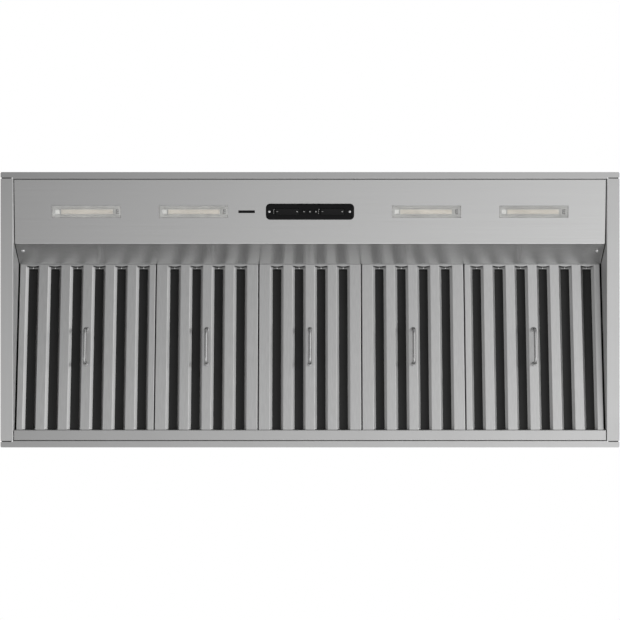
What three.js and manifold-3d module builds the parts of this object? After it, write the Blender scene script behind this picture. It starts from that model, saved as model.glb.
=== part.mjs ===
// Built-in range hood insert. It hangs inside a cabinet or a custom hood.
// Millimetres, +Z up. The origin is the centre of the rim's underside, -Y is the front edge above the cook,
// and +X is to the right of someone who stands at the cooktop.
import * as THREE from "three";
import { mergeVertices } from "three/addons/utils/BufferGeometryUtils.js";
import Module from "manifold-3d";

const wasm = await Module();
wasm.setup();

// ---------------------------------------------------------------- driving dimensions

// Clearances between separate pieces
const seatGap = 0.3; // pieces that touch, and pins in their holes
const hemGap = 0.8; // light panel and rear ledge to the casing walls
const past = 1; // how far a cutting shape runs past the piece that it cuts

// Casing: four folded sheet panels and a lid
const overallWidth = 1178;
const overallDepth = 524;
const casingHeight = 308;
const casingSheet = 1.2;
const sideFlange = 22.8; // rim outside the side walls
const endFlange = 11.4; // rim outside the front and rear walls
const topLip = 5; // inward hem along the top of each wall
const rimCornerRadius = 2.5;
const fixingHoleRadius = 2.5;
const fixingHoleHeight = 40;
const fixingHoleSpread = 300;

// Light panel: front hem, gently rising field, 45 degree riser, upright flange
const panelSheet = 1;
const panelSideGap = 1.5;
const panelDrop = 2; // height of its front bend above the rim
const panelRun = 122.1;
const panelRise = 7.7;
const riserRun = 38.1;
const frontHem = 25;
const riserFlange = 18;
const deviceSetback = 61.6; // lamps, control and sensor lie on one line behind the front bend

// Lamps
const lampNear = 222.2; // middle of the hood to the inner lamps
const lampInset = 136.5; // ends of the panel to the outer lamps
const lensLength = 131;
const lensWidth = 22.2;
const lensThickness = 2.4;
const lensGap = 0.4;
const lensStep = 1.6; // ledge that the lens sits on
const trayWall = 4;
const trayDepth = 13.7;
const trayTop = 4; // tray material above its cavity
const cavityTaper = 12.2; // how far each cavity end slopes in
const cavitySideTaper = 4;
const lampBoardLength = 100;
const lampBoardWidth = 10;
const boardThickness = 1.6;

// Control
const bezelLength = 168.5;
const bezelWidth = 30.5;
const bezelRadius = 8;
const bezelHeight = 3.2;
const bezelBevel = 1.6;
const bodyLength = 140;
const bodyWidth = 20;
const bodyHeight = 15;
const bodyWall = 1.6;
const bezelFloor = 2;
const cutoutGap = 0.6;
const boardRecess = 3.6; // circuit board below the open top of the body
const rockerLength = 44;
const rockerWidth = 12;
const rockerSpread = 86;
const rockerShift = -0.4;
const keyProud = 1.2; // rocker face below the bezel
const keyThickness = 4.4;
const keyEndSlack = 0.6;
const keySideSlack = 0.4;
const rockerPinRadius = 1.5;
const rockerPinLevel = 1.8; // above the panel's visible face
const rockerStemLength = 8;
const rockerStemWidth = 10;
const rockerStemGap = 0.5; // stem to the circuit board
const buttonPitch = 11.4;
const buttonRadius = 4;
const buttonProud = 1;
const buttonFlange = 1;
const buttonFlangeThickness = 1;
const buttonStemRadius = 1.8;
const buttonTravel = 1.2;

// Sensor window beside the control
const sensorLength = 30.8;
const sensorWidth = 4.5;
const sensorSpacing = 21.35;
const sensorDepth = 3.5;
const sensorProud = 0.5;
const sensorFlange = 2.4;
const sensorFlangeThickness = 1.3;
const sensorEndFlat = 0.1; // straight part of each rounded end

// Riser brackets and screws
const bracketSheet = 1.5;
const bracketStart = 8;
const bracketLength = 32;
const bracketTab = 28;
const bracketPlate = 20;
const screwInset = 12; // from the end of the panel
const screwAlong = 19.2; // up the riser
const screwHeadRadius = 3.8;
const screwHeadHeight = 1.9;
const screwShankRadius = 2;
const screwShankLength = 9;

// Rear ledge
const ledgeSheet = 1;
const ledgeWidth = 19.4;
const ledgeDrop = 1.5;
const ledgeLip = 9.4;
const ledgeUpstand = 30;

// Baffle filters: two wide ones outside three narrow ones
const filterSheet = 0.8;
const filterDepth = 14.9;
const filterTail = 8; // filter behind the ledge lip
const filterFrontGap = 1.2;
const filterFrontDrop = 0.5; // front edge below the top of the riser
const filterGap = 1.2;
const filterSideGap = 2.6;
const narrowFilterWidth = 197.6;
const slotPitch = 42.85;
const barFlat = 17;
const barSlope = 4.7;
const barHeight = 8;
const sideBarLeast = 14;
const faceReturn = 6;
const endLedgeHeight = 5;
const endLedgeDepth = 9;
const baffleFoot = 5.5;
const baffleTop = 13;
const baffleWidth = 26.4;
const baffleStrip = 14;
const baffleStripThickness = 1.2;

// Filter handles
const handleSpan = 66.9;
const handleRod = 6;
const handleStandOff = 24.5;
const handleBend = 11;
const handleCollar = 9;
const handleCollarHeight = 2.4;

// Blower: a motor between two wheels, each in its own scroll
const blowerY = -54;
const blowerDrop = 116.5; // shaft below the top of the walls
const blowerSheet = 1;
const wheelRadius = 75;
const wheelInner = 62;
const wheelWidth = 96;
const wheelRim = 4;
const wheelBlades = 20;
const bladeThickness = 1.2;
const bladeRoot = 0.6; // blade outside the rims' inner edge
const bladeTip = 0.9; // blade inside the rims' outer edge
const bladeLean = 24; // degrees
const wheelDisc = 2;
const discInset = 1.5; // disc inside the rims' outer edge
const wheelHubRadius = 12;
const wheelHubLength = 24;
const wheelSideGap = 7;
const tongueGap = 8;
const tongueAngle = 65; // degrees above the horizontal, on the outlet side
const scrollClearance = 13; // scroll above the filters
const scrollSpacing = 110; // between the two scrolls
const inletRadius = 60;
const shaftRadius = 4;
const shaftOverhang = 5;
const motorRadius = 48;
const motorLength = 76;
const motorBossRadius = 22;
const motorBossLength = 6;
const cradleWidth = 20;
const cradleSheet = 3;
const cradlePost = 30;
const cradleFoot = 90;

// Outlet box, collar and back-draught damper
const ductY = 30;
const ductSheet = 1;
const plenumMargin = 10; // box beyond the scroll outlets
const plenumSkirt = 30;
const plenumFlange = 12;
const collarRadius = 126;
const collarFlange = 14;
const collarHeight = 41.4;
const plenumBorder = 5; // box beyond the collar flange
const damperPinHeight = 12;
const damperPinRadius = 3;
const damperPinEnd = 2;
const damperSheet = 0.8;
const damperGap = 2; // flap to collar wall
const damperHinge = 5.5; // flap edge to the pin's middle
const knuckleWall = 1;
const knucklePitch = 38;
const knucklesPerFlap = 3;
const damperStop = 6;

// Junction box for the supply cable
const boxInset = 86.2; // from the right side wall
const boxLength = 150;
const boxWidth = 120;
const boxHeight = 44.7;
const boxSheet = 1.2;
const knockoutRadius = 11;
const knockoutHeight = 24;
const coverSkirt = 8;

// Facets
const smallSides = 12;
const buttonSides = 20;
const wheelSides = 36;
const ductSides = 48;
const cornerSteps = 3;
const spiralSteps = 24;
const rodSides = 8;
const rodSteps = 16;

// ---------------------------------------------------------------- shapes

const radians = THREE.MathUtils.degToRad;

// A closed geometry as a solid that can be joined and cut.
function solidOf(geometry) {
  const bare = geometry.index ? geometry.toNonIndexed() : geometry.clone();
  bare.deleteAttribute("normal");
  bare.deleteAttribute("uv");
  const merged = mergeVertices(bare, 1e-4);
  return new wasm.Manifold(
    new wasm.Mesh({
      numProp: 3,
      vertProperties: merged.attributes.position.array,
      triVerts: new Uint32Array(merged.index.array),
    }),
  );
}

function geometryOf(solid) {
  const mesh = solid.getMesh();
  const geometry = new THREE.BufferGeometry();
  geometry.setAttribute("position", new THREE.BufferAttribute(mesh.vertProperties, 3));
  geometry.setIndex(new THREE.BufferAttribute(mesh.triVerts, 1));
  const faceted = geometry.toNonIndexed();
  faceted.computeVertexNormals();
  return faceted;
}

const join = (solids) => solids.reduce((a, b) => a.add(b));
const cut = (solid, tools) => tools.reduce((a, b) => a.subtract(b), solid);

// A box whose lower face is low wide and whose upper face is high wide; each is [x, y] from the middle line.
function taperedBlock(low, high, [bottom, top], [middleX, middleY] = [0, 0]) {
  const geometry = new THREE.BoxGeometry(1, 1, 1);
  const position = geometry.attributes.position;
  for (let i = 0; i < position.count; i++) {
    const upper = position.getZ(i) > 0;
    const half = upper ? high : low;
    position.setXYZ(
      i,
      middleX + Math.sign(position.getX(i)) * half[0],
      middleY + Math.sign(position.getY(i)) * half[1],
      upper ? top : bottom,
    );
  }
  return solidOf(geometry);
}

function block([x0, x1], [y0, y1], zs) {
  const half = [(x1 - x0) / 2, (y1 - y0) / 2];
  return taperedBlock(half, half, zs, [(x0 + x1) / 2, (y0 + y1) / 2]);
}

// An outline carried straight along an axis: its points are [y, z] along x, [x, z] along y, [x, y] along z.
function prism(axis, outline, from, to, holes = []) {
  const shape = new THREE.Shape(outline.map(([u, v]) => new THREE.Vector2(u, v)));
  shape.holes = holes.map((hole) => new THREE.Path(hole.map(([u, v]) => new THREE.Vector2(u, v))));
  const geometry = new THREE.ExtrudeGeometry(shape, { depth: 1, bevelEnabled: false, steps: 1 });
  const position = geometry.attributes.position;
  for (let i = 0; i < position.count; i++) {
    const u = position.getX(i);
    const v = position.getY(i);
    const far = position.getZ(i) > 0.5;
    if (axis === "x") position.setXYZ(i, far ? to : from, u, v);
    if (axis === "y") position.setXYZ(i, u, far ? from : to, v);
    if (axis === "z") position.setXYZ(i, u, v, far ? to : from);
  }
  return solidOf(geometry);
}

// The outline of a folded sheet: a path along one face, and the other face on the left of travel.
function folded(path, thickness) {
  const normals = path.slice(1).map(([u, v], i) => {
    const du = u - path[i][0];
    const dv = v - path[i][1];
    const length = Math.hypot(du, dv);
    return [-dv / length, du / length];
  });
  const offset = path.map(([u, v], i) => {
    const before = normals[Math.max(i - 1, 0)];
    const after = normals[Math.min(i, normals.length - 1)];
    const mitre = thickness / (1 + before[0] * after[0] + before[1] * after[1]);
    return [u + mitre * (before[0] + after[0]), v + mitre * (before[1] + after[1])];
  });
  return [...path, ...offset.reverse()];
}

const mirrored = (outline) => outline.map(([u, v]) => [-u, v]);

function arc([u, v], radius, startAngle, endAngle, steps) {
  return Array.from({ length: steps + 1 }, (_, i) => {
    const angle = startAngle + ((endAngle - startAngle) * i) / steps;
    return [u + radius * Math.cos(angle), v + radius * Math.sin(angle)];
  });
}

const circle = (centre, radius, sides) => arc(centre, radius, 0, 2 * Math.PI, sides).slice(0, -1);

function roundedRectangle(length, width, radius) {
  const u = length / 2 - radius;
  const v = width / 2 - radius;
  const quarter = Math.PI / 2;
  const corners = [[u, v], [-u, v], [-u, -v], [u, -v]];
  return corners.flatMap((corner, i) => arc(corner, radius, i * quarter, (i + 1) * quarter, cornerSteps));
}

const rod = (axis, centre, radius, from, to, sides = smallSides) =>
  prism(axis, circle(centre, radius, sides), from, to);

// ---------------------------------------------------------------- finishes

const finish = (color, roughness, metalness) =>
  new THREE.MeshStandardMaterial({ color, roughness, metalness });
const brushedSteel = finish(0xb4b4b4, 0.38, 1);
const polishedSteel = finish(0xc6c6c6, 0.22, 1);
const zincSheet = finish(0x9a9da0, 0.5, 1);
const blackPlastic = finish(0x111112, 0.35, 0);
const clearCover = finish(0xe8e6df, 0.15, 0);
const greyTray = finish(0xa9a9a8, 0.6, 0);
const lampChips = finish(0xd9cfb0, 0.5, 0);
const circuitBoard = finish(0x2f5a3a, 0.6, 0);
const motorPaint = finish(0x3a3c3e, 0.5, 0.6);

const hood = new THREE.Group();

function place(name, solid, material, parent = hood) {
  const mesh = new THREE.Mesh(geometryOf(solid), material);
  mesh.name = name;
  parent.add(mesh);
}

// ---------------------------------------------------------------- casing

const halfWidth = overallWidth / 2;
const halfDepth = overallDepth / 2;
const wallX = halfWidth - sideFlange;
const innerX = wallX - casingSheet;
const wallY = halfDepth - endFlange;
const innerY = wallY - casingSheet;
const wallTop = casingHeight - casingSheet - seatGap;

// Front and rear panels are one folded section; the rim runs out past the walls to the corners.
function endPanel(side) {
  const section = folded(
    [[innerY - topLip, wallTop - casingSheet], [innerY, wallTop - casingSheet], [innerY, 0], [halfDepth, 0]],
    casingSheet,
  );
  const outline = side > 0 ? section : mirrored(section);
  const corner = halfDepth - rimCornerRadius;
  const rimEnd = halfWidth - rimCornerRadius;
  const rim = [
    [-halfWidth, side * wallY],
    ...arc([-rimEnd, side * corner], rimCornerRadius, Math.PI, Math.PI - (side * Math.PI) / 2, cornerSteps),
    ...arc([rimEnd, side * corner], rimCornerRadius, (side * Math.PI) / 2, 0, cornerSteps),
    [halfWidth, side * wallY],
  ];
  return join([prism("x", outline, -wallX, wallX), prism("z", rim, 0, casingSheet)]);
}

place("front_panel", endPanel(-1), brushedSteel);
place("rear_panel", endPanel(1), brushedSteel);

function sidePanel(side) {
  const wallEnd = innerY - seatGap;
  const rimEnd = wallY - seatGap;
  const lipEnd = innerY - topLip - seatGap;
  const across = (a, b) => (side > 0 ? [a, b] : [-b, -a]);
  const rim = join([
    block(across(wallX + seatGap, halfWidth), [-rimEnd, rimEnd], [0, casingSheet]),
    block(across(innerX, wallX + seatGap + past), [-wallEnd, wallEnd], [0, casingSheet]),
  ]);
  const wall = join([
    block(across(innerX, wallX), [-wallEnd, wallEnd], [0, wallTop - casingSheet - seatGap]),
    block(across(innerX, wallX), [-lipEnd, lipEnd], [0, wallTop]),
  ]);
  const lip = block(across(innerX - topLip, wallX), [-lipEnd, lipEnd], [wallTop - casingSheet, wallTop]);
  const [near, far] = across(innerX - past, wallX + past);
  const holes = [-1, 1].map((end) =>
    rod("x", [(end * fixingHoleSpread) / 2, fixingHoleHeight], fixingHoleRadius, near, far),
  );
  return cut(join([rim, wall, lip]), holes);
}

place("left_side_panel", sidePanel(-1), brushedSteel);
place("right_side_panel", sidePanel(1), brushedSteel);

// ---------------------------------------------------------------- light panel

const panelEnd = innerX - panelSideGap;
const panelFront = -innerY + hemGap;
const panelAngle = Math.atan2(panelRise, panelRun);
const riserFoot = [panelFront + panelRun, panelDrop + panelRise];
const riserTop = [riserFoot[0] + riserRun, riserFoot[1] + riserRun];
const riserAngle = Math.atan2(riserTop[1] - riserFoot[1], riserTop[0] - riserFoot[0]);
const deviceY = panelFront + deviceSetback;
const deviceZ = panelDrop + deviceSetback * Math.tan(panelAngle);

// A group whose x-y plane is the visible face of the light panel, with z up through the sheet.
function onPanel(x) {
  const group = new THREE.Group();
  group.position.set(x, deviceY, deviceZ);
  group.rotation.x = panelAngle;
  hood.add(group);
  return group;
}

// The same place for a cutting shape, so that each cut-out lies where its device does.
function cutterOnPanel(solid, x) {
  return solid.rotate([(panelAngle * 180) / Math.PI, 0, 0]).translate([x, deviceY, deviceZ]);
}

const lampFar = panelEnd - lampInset;
const lampPlaces = [-lampFar, -lampNear, lampNear, lampFar];
const windowHalf = [lensLength / 2 + lensGap, lensWidth / 2 + lensGap];
const sensorX = -(bezelLength / 2 + sensorSpacing + sensorLength / 2);
const screwX = panelEnd - screwInset;
const screwHole = screwShankRadius + seatGap;

// A place on the riser: so far up its face, and so far in from that face.
function onRiser(along, inwards) {
  const u = Math.cos(riserAngle);
  const v = Math.sin(riserAngle);
  return [riserFoot[0] + along * u - inwards * v, riserFoot[1] + along * v + inwards * u];
}

// A rod square to the riser, between two depths below (negative) and behind it.
function rodThroughRiser(x, radius, from, to) {
  const [y, z] = onRiser(screwAlong, 0);
  return rod("z", [0, 0], radius, from, to)
    .rotate([(riserAngle * 180) / Math.PI, 0, 0])
    .translate([x, y, z]);
}

function lightPanel() {
  const section = folded(
    [
      [panelFront, panelDrop + frontHem],
      [panelFront, panelDrop],
      riserFoot,
      riserTop,
      [riserTop[0], riserTop[1] + riserFlange],
    ],
    panelSheet,
  );
  const through = [-past, panelSheet + past];
  const lampWindow = block([-windowHalf[0], windowHalf[0]], [-windowHalf[1], windowHalf[1]], through);
  const controlHole = block(
    [-bodyLength / 2 - cutoutGap, bodyLength / 2 + cutoutGap],
    [-bodyWidth / 2 - cutoutGap, bodyWidth / 2 + cutoutGap],
    through,
  );
  const slot = prism(
    "z",
    roundedRectangle(sensorLength + 2 * seatGap, sensorWidth + 2 * seatGap, sensorWidth / 2),
    ...through,
  );
  return cut(prism("x", section, -panelEnd, panelEnd), [
    ...lampPlaces.map((x) => cutterOnPanel(lampWindow, x)),
    cutterOnPanel(controlHole, 0),
    cutterOnPanel(slot, sensorX),
    ...[-screwX, screwX].map((x) => rodThroughRiser(x, screwHole, ...through)),
  ]);
}

place("light_panel", lightPanel(), brushedSteel);

// Each bracket is an angle: a tab behind the riser and a plate on the side wall.
function panelBracket(side) {
  const inside = panelSheet + seatGap;
  const lengthwise = [bracketStart, bracketStart + bracketLength];
  const leaf = (depth) => [
    onRiser(lengthwise[0], inside),
    onRiser(lengthwise[1], inside),
    onRiser(lengthwise[1], inside + depth),
    onRiser(lengthwise[0], inside + depth),
  ];
  const outer = innerX - seatGap;
  const across = (a, b) => (side > 0 ? [a, b] : [-b, -a]);
  const solid = join([
    prism("x", leaf(bracketSheet), ...across(outer - bracketTab, outer)),
    prism("x", leaf(bracketPlate), ...across(outer - bracketSheet, outer)),
  ]);
  return cut(solid, [rodThroughRiser(side * screwX, screwHole, inside - past, inside + bracketSheet + past)]);
}

function panelScrew(side) {
  const x = side * screwX;
  return join([
    rodThroughRiser(x, screwHeadRadius, -seatGap - screwHeadHeight, -seatGap),
    rodThroughRiser(x, screwShankRadius, -seatGap - past / 2, -seatGap + screwShankLength),
  ]);
}

for (const [word, side] of [["left", -1], ["right", 1]]) {
  place(`${word}_panel_bracket`, panelBracket(side), zincSheet);
  place(`${word}_panel_screw`, panelScrew(side), polishedSteel);
}

// ---------------------------------------------------------------- lamps

const trayFoot = panelSheet + seatGap;
const trayEnd = trayFoot + trayDepth;
const lensTop = seatGap + lensThickness;
const seatLevel = lensTop + seatGap; // the tray's step that the lens meets
const cavityEnd = trayEnd - trayTop;

function lampTray() {
  const [halfLength, halfWide] = windowHalf;
  const mouth = [halfLength, halfWide];
  const low = [halfLength - lensStep, halfWide - lensStep];
  const high = [low[0] - cavityTaper, low[1] - cavitySideTaper];
  const outer = [halfLength + trayWall, halfWide + trayWall];
  return cut(taperedBlock(outer, outer, [trayFoot, trayEnd]), [
    taperedBlock(mouth, mouth, [trayFoot - past, seatLevel]),
    taperedBlock(low, low, [seatLevel - past, seatLevel]),
    taperedBlock(low, high, [seatLevel, cavityEnd]),
  ]);
}

lampPlaces.forEach((x, i) => {
  const lamp = onPanel(x);
  const lensHalf = [lensLength / 2, lensWidth / 2];
  const boardHalf = [lampBoardLength / 2, lampBoardWidth / 2];
  const boardTop = cavityEnd - seatGap;
  place(`led_tray_${i + 1}`, lampTray(), greyTray, lamp);
  place(`led_lens_${i + 1}`, taperedBlock(lensHalf, lensHalf, [seatGap, lensTop]), clearCover, lamp);
  place(
    `led_board_${i + 1}`,
    taperedBlock(boardHalf, boardHalf, [boardTop - boardThickness, boardTop]),
    lampChips,
    lamp,
  );
});

// ---------------------------------------------------------------- control

const control = onPanel(0);
const bezelTop = -seatGap;
const bezelFace = bezelTop - bezelHeight;
const floorTop = bezelFace + bezelFloor;
const cavityLength = bodyLength - 2 * bodyWall;
const cavityWidth = bodyWidth - 2 * bodyWall;
const rockerPlaces = [rockerShift - rockerSpread / 2, rockerShift + rockerSpread / 2];
const buttonPlaces = [-buttonPitch, 0, buttonPitch];
const controlBoardTop = bodyHeight - boardRecess;
const controlBoardFoot = controlBoardTop - boardThickness;
const stemTop = controlBoardFoot - rockerStemGap;

// The bezel tapers to its face in a bevel; the body behind it is a tray, open at the top.
function controlHousing() {
  const outline = roundedRectangle(bezelLength, bezelWidth, bezelRadius);
  const shape = new THREE.Shape(outline.map(([u, v]) => new THREE.Vector2(u, v)));
  const bezel = solidOf(
    new THREE.ExtrudeGeometry(shape, {
      depth: bezelHeight - bezelBevel,
      bevelEnabled: true,
      bevelThickness: bezelBevel,
      bevelSize: bezelBevel,
      bevelOffset: -bezelBevel,
      bevelSegments: 1,
      steps: 1,
    }),
  )
    .translate([0, 0, bezelFace + bezelBevel])
    .subtract(
      block([-bezelLength, bezelLength], [-bezelWidth, bezelWidth], [bezelTop, bezelTop + bezelHeight]),
    );
  const body = block(
    [-bodyLength / 2, bodyLength / 2],
    [-bodyWidth / 2, bodyWidth / 2],
    [bezelTop - past, bodyHeight],
  );
  const cavity = block(
    [-cavityLength / 2, cavityLength / 2],
    [-cavityWidth / 2, cavityWidth / 2],
    [floorTop, bodyHeight + past],
  );
  const pockets = rockerPlaces.map((x) =>
    block(
      [x - rockerLength / 2 - keyEndSlack, x + rockerLength / 2 + keyEndSlack],
      [-rockerWidth / 2 - keySideSlack, rockerWidth / 2 + keySideSlack],
      [bezelFace - past, floorTop + past],
    ),
  );
  const bearings = rockerPlaces.map((x) =>
    rod("y", [x, rockerPinLevel], rockerPinRadius + seatGap, -bodyWidth / 2 - past, bodyWidth / 2 + past),
  );
  const keyholes = buttonPlaces.map((x) =>
    rod("z", [x, 0], buttonRadius + keySideSlack, bezelFace - past, floorTop + past, buttonSides),
  );
  return cut(bezel.add(body), [cavity, ...pockets, ...bearings, ...keyholes]);
}

place("control_housing", controlHousing(), blackPlastic, control);
place(
  "control_board",
  block(
    [-cavityLength / 2 + seatGap, cavityLength / 2 - seatGap],
    [-cavityWidth / 2 + seatGap, cavityWidth / 2 - seatGap],
    [controlBoardFoot, controlBoardTop],
  ),
  circuitBoard,
  control,
);

// A rocker key turns on a pin through both walls of the body; its stem reaches towards the board.
function rocker(x) {
  const keyFace = bezelFace - keyProud;
  const pinReach = (bodyWidth - bodyWall) / 2;
  return join([
    block(
      [x - rockerLength / 2, x + rockerLength / 2],
      [-rockerWidth / 2, rockerWidth / 2],
      [keyFace, keyFace + keyThickness],
    ),
    block(
      [x - rockerStemLength / 2, x + rockerStemLength / 2],
      [-rockerStemWidth / 2, rockerStemWidth / 2],
      [keyFace + keyThickness - past, stemTop],
    ),
    rod("y", [x, rockerPinLevel], rockerPinRadius, -pinReach, pinReach),
  ]);
}

place("light_rocker", rocker(rockerPlaces[0]), blackPlastic, control);
place("fan_rocker", rocker(rockerPlaces[1]), blackPlastic, control);

function button(x) {
  const flangeFoot = floorTop + seatGap;
  const flangeTop = flangeFoot + buttonFlangeThickness;
  return join([
    rod("z", [x, 0], buttonRadius, bezelFace - buttonProud, flangeFoot + past / 2, buttonSides),
    rod("z", [x, 0], buttonRadius + buttonFlange, flangeFoot, flangeTop, buttonSides),
    rod("z", [x, 0], buttonStemRadius, flangeFoot, controlBoardFoot - seatGap - buttonTravel),
  ]);
}

buttonPlaces.forEach((x, i) => place(`button_${i + 1}`, button(x), blackPlastic, control));

const sensorOutline = roundedRectangle(sensorLength, sensorWidth, (sensorWidth - sensorEndFlat) / 2);
const sensorFlangeOutline = roundedRectangle(
  sensorLength + 2 * sensorFlange,
  sensorWidth + 2 * sensorFlange,
  sensorFlange,
);
place(
  "sensor_window",
  join([
    prism("z", sensorOutline, -sensorProud, sensorDepth - sensorProud),
    prism("z", sensorFlangeOutline, panelSheet + seatGap, panelSheet + seatGap + sensorFlangeThickness),
  ]),
  blackPlastic,
  onPanel(sensorX),
);

// ---------------------------------------------------------------- rear ledge

const ledgeRear = innerY - hemGap;
const ledgeFront = ledgeRear - ledgeWidth;
const lipTop = ledgeDrop + ledgeLip;
place(
  "rear_filter_ledge",
  prism(
    "x",
    folded(
      [
        [ledgeFront, lipTop],
        [ledgeFront, ledgeDrop],
        [ledgeRear, ledgeDrop],
        [ledgeRear, ledgeDrop + ledgeUpstand],
      ],
      ledgeSheet,
    ),
    -panelEnd,
    panelEnd,
  ),
  brushedSteel,
);

// ---------------------------------------------------------------- filters

// A filter's own frame: y from the front (negative) to the tail, z up from its visible face.
// Its origin is the edge of the rear ledge's lip, which the filter rests on and turns about.
const pivotY = ledgeFront;
const pivotZ = lipTop + seatGap;
const frontY = riserTop[0] + filterFrontGap;
const frontZ = riserTop[1] - filterFrontDrop;
const filterTilt = Math.atan2(frontZ - pivotZ, pivotY - frontY);
const filterReach = Math.hypot(frontZ - pivotZ, pivotY - frontY);
const bankHalf = innerX - filterSideGap;
const narrowPitch = narrowFilterWidth + filterGap;
const wideInner = narrowPitch + narrowFilterWidth / 2 + filterGap;
const wideFilterWidth = bankHalf - wideInner;
const wideX = (bankHalf + wideInner) / 2;
const slotWidth = slotPitch - barFlat - 2 * barSlope;

// The slots come in pairs, so that the middle of a filter is a bar, which carries the handle.
function slotPlaces(width) {
  const pairs = Math.floor((width - 2 * sideBarLeast - slotWidth + slotPitch) / (2 * slotPitch));
  return Array.from({ length: 2 * pairs }, (_, i) => (i + 1 / 2 - pairs) * slotPitch);
}

// The face is folded sheet: trough-shaped bars between side walls, joined by end plates and set-back ledges.
// It is cut from a block by the air above and between the bars, whose outline runs along each bar in turn.
function filterFace(width) {
  const slots = slotPlaces(width);
  const edge = width / 2;
  const barHalf = barFlat / 2;
  const below = [barSlope / barHeight, -past]; // a slot's side, carried on below the face
  const bars = slots.slice(1).flatMap((slot) => {
    const x = slot - slotPitch / 2;
    const trough = [
      [x - barHalf - barSlope, barHeight],
      [x - barHalf, 0],
      [x + barHalf, 0],
      [x + barHalf + barSlope, barHeight],
    ];
    const inner = folded(trough, filterSheet).slice(trough.length).reverse();
    return [
      [x - barHalf + below[0], below[1]],
      trough[0],
      ...inner,
      trough[3],
      [x + barHalf - below[0], below[1]],
    ];
  });
  const flatEnd = slots[0] - slotPitch / 2 + barHalf;
  const sideBar = [
    [-edge + faceReturn, filterDepth],
    [-edge, filterDepth],
    [-edge, 0],
    [flatEnd, 0],
    [flatEnd + barSlope, barHeight],
  ];
  const leftAir = [
    [-edge + faceReturn, filterDepth + past],
    ...folded(sideBar, filterSheet).slice(sideBar.length).reverse(),
    [flatEnd + barSlope, barHeight],
    [flatEnd - below[0], below[1]],
  ];
  const air = [...leftAir, ...bars, ...mirrored(leftAir).reverse()];
  const body = block([-edge, edge], [-filterReach, filterTail], [0, filterDepth]);
  const between = [-filterReach + filterSheet, filterTail - filterSheet];
  const ledge = (from, to) =>
    block(
      [-edge + filterSheet / 2, edge - filterSheet / 2],
      [from, to],
      [endLedgeHeight, endLedgeHeight + filterSheet],
    );
  return join([
    cut(body, [prism("y", air, ...between)]),
    ledge(-filterReach + filterSheet / 2, -filterReach + endLedgeDepth),
    ledge(filterTail - endLedgeDepth, filterTail - filterSheet / 2),
  ]);
}

// Behind each slot an inverted channel turns the air; two cross strips carry the channels.
function filterBaffles(width) {
  const half = baffleWidth / 2;
  const clear = endLedgeDepth + seatGap;
  const channels = slotPlaces(width).map((x) =>
    prism(
      "y",
      folded(
        [[x + half, baffleFoot], [x + half, baffleTop], [x - half, baffleTop], [x - half, baffleFoot]],
        filterSheet,
      ),
      -filterReach + clear,
      filterTail - clear,
    ),
  );
  const stripTop = filterDepth - filterSheet - seatGap;
  const stripFoot = stripTop - baffleStripThickness;
  const endGap = filterSheet + seatGap;
  const reach = width / 2 - filterSheet - seatGap;
  const strips = [
    [-filterReach + endGap, -filterReach + endGap + baffleStrip],
    [filterTail - endGap - baffleStrip, filterTail - endGap],
  ].map((ys) => block([-reach, reach], ys, [stripFoot, stripTop]));
  return join([...channels, ...strips]);
}

// A bow handle of round rod, square to the face at both feet, with a collar at each foot.
function filterHandle() {
  const level = -(handleStandOff - handleRod / 2);
  const half = handleSpan / 2;
  const path = new THREE.CurvePath();
  const at = (y, z) => new THREE.Vector3(0, y, z);
  const down = level + handleBend;
  path.add(new THREE.LineCurve3(at(-half, -seatGap), at(-half, down)));
  path.add(new THREE.QuadraticBezierCurve3(at(-half, down), at(-half, level), at(-half + handleBend, level)));
  path.add(new THREE.LineCurve3(at(-half + handleBend, level), at(half - handleBend, level)));
  path.add(new THREE.QuadraticBezierCurve3(at(half - handleBend, level), at(half, level), at(half, down)));
  path.add(new THREE.LineCurve3(at(half, down), at(half, -seatGap)));
  const section = new THREE.Shape(
    circle([0, 0], handleRod / 2, rodSides).map(([u, v]) => new THREE.Vector2(u, v)),
  );
  const bow = new THREE.ExtrudeGeometry(section, { extrudePath: path, steps: rodSteps, bevelEnabled: false });
  const collars = [-half, half].map((y) =>
    rod("z", [0, y], handleCollar / 2, -seatGap - handleCollarHeight, -seatGap, smallSides),
  );
  const [near, far] = collars;
  return solidOf(bow).add(near).add(far).translate([0, -filterReach / 2, 0]);
}

const filterPlaces = [
  [-wideX, wideFilterWidth],
  [-narrowPitch, narrowFilterWidth],
  [0, narrowFilterWidth],
  [narrowPitch, narrowFilterWidth],
  [wideX, wideFilterWidth],
];
filterPlaces.forEach(([x, width], i) => {
  const filter = new THREE.Group();
  filter.position.set(x, pivotY, pivotZ);
  filter.rotation.x = -filterTilt;
  hood.add(filter);
  place(`filter_face_${i + 1}`, filterFace(width), brushedSteel, filter);
  place(`filter_baffles_${i + 1}`, filterBaffles(width), brushedSteel, filter);
  place(`filter_handle_${i + 1}`, filterHandle(), polishedSteel, filter);
});

// ---------------------------------------------------------------- blower

const blowerZ = wallTop - blowerDrop;
const scrollWidth = wheelWidth + 2 * wheelSideGap;
const scrollMiddle = scrollSpacing / 2 + scrollWidth / 2;
const tongueRadius = wheelRadius + tongueGap;
const filterFaceAtBlower = pivotZ + (pivotY - blowerY) * Math.tan(filterTilt);
const filterTopAtBlower = filterFaceAtBlower + filterDepth / Math.cos(filterTilt);
const bottomRadius = blowerZ - filterTopAtBlower - scrollClearance - blowerSheet;
const tongue = radians(tongueAngle);
const openingPerRadian = (bottomRadius - tongueRadius) / (radians(270) - tongue);
const spiralRadius = (angle) => tongueRadius + openingPerRadian * (angle - tongue);
const outletFront = blowerY + tongueRadius * Math.cos(tongue);
const outletRear = blowerY + spiralRadius(2 * Math.PI);

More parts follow.
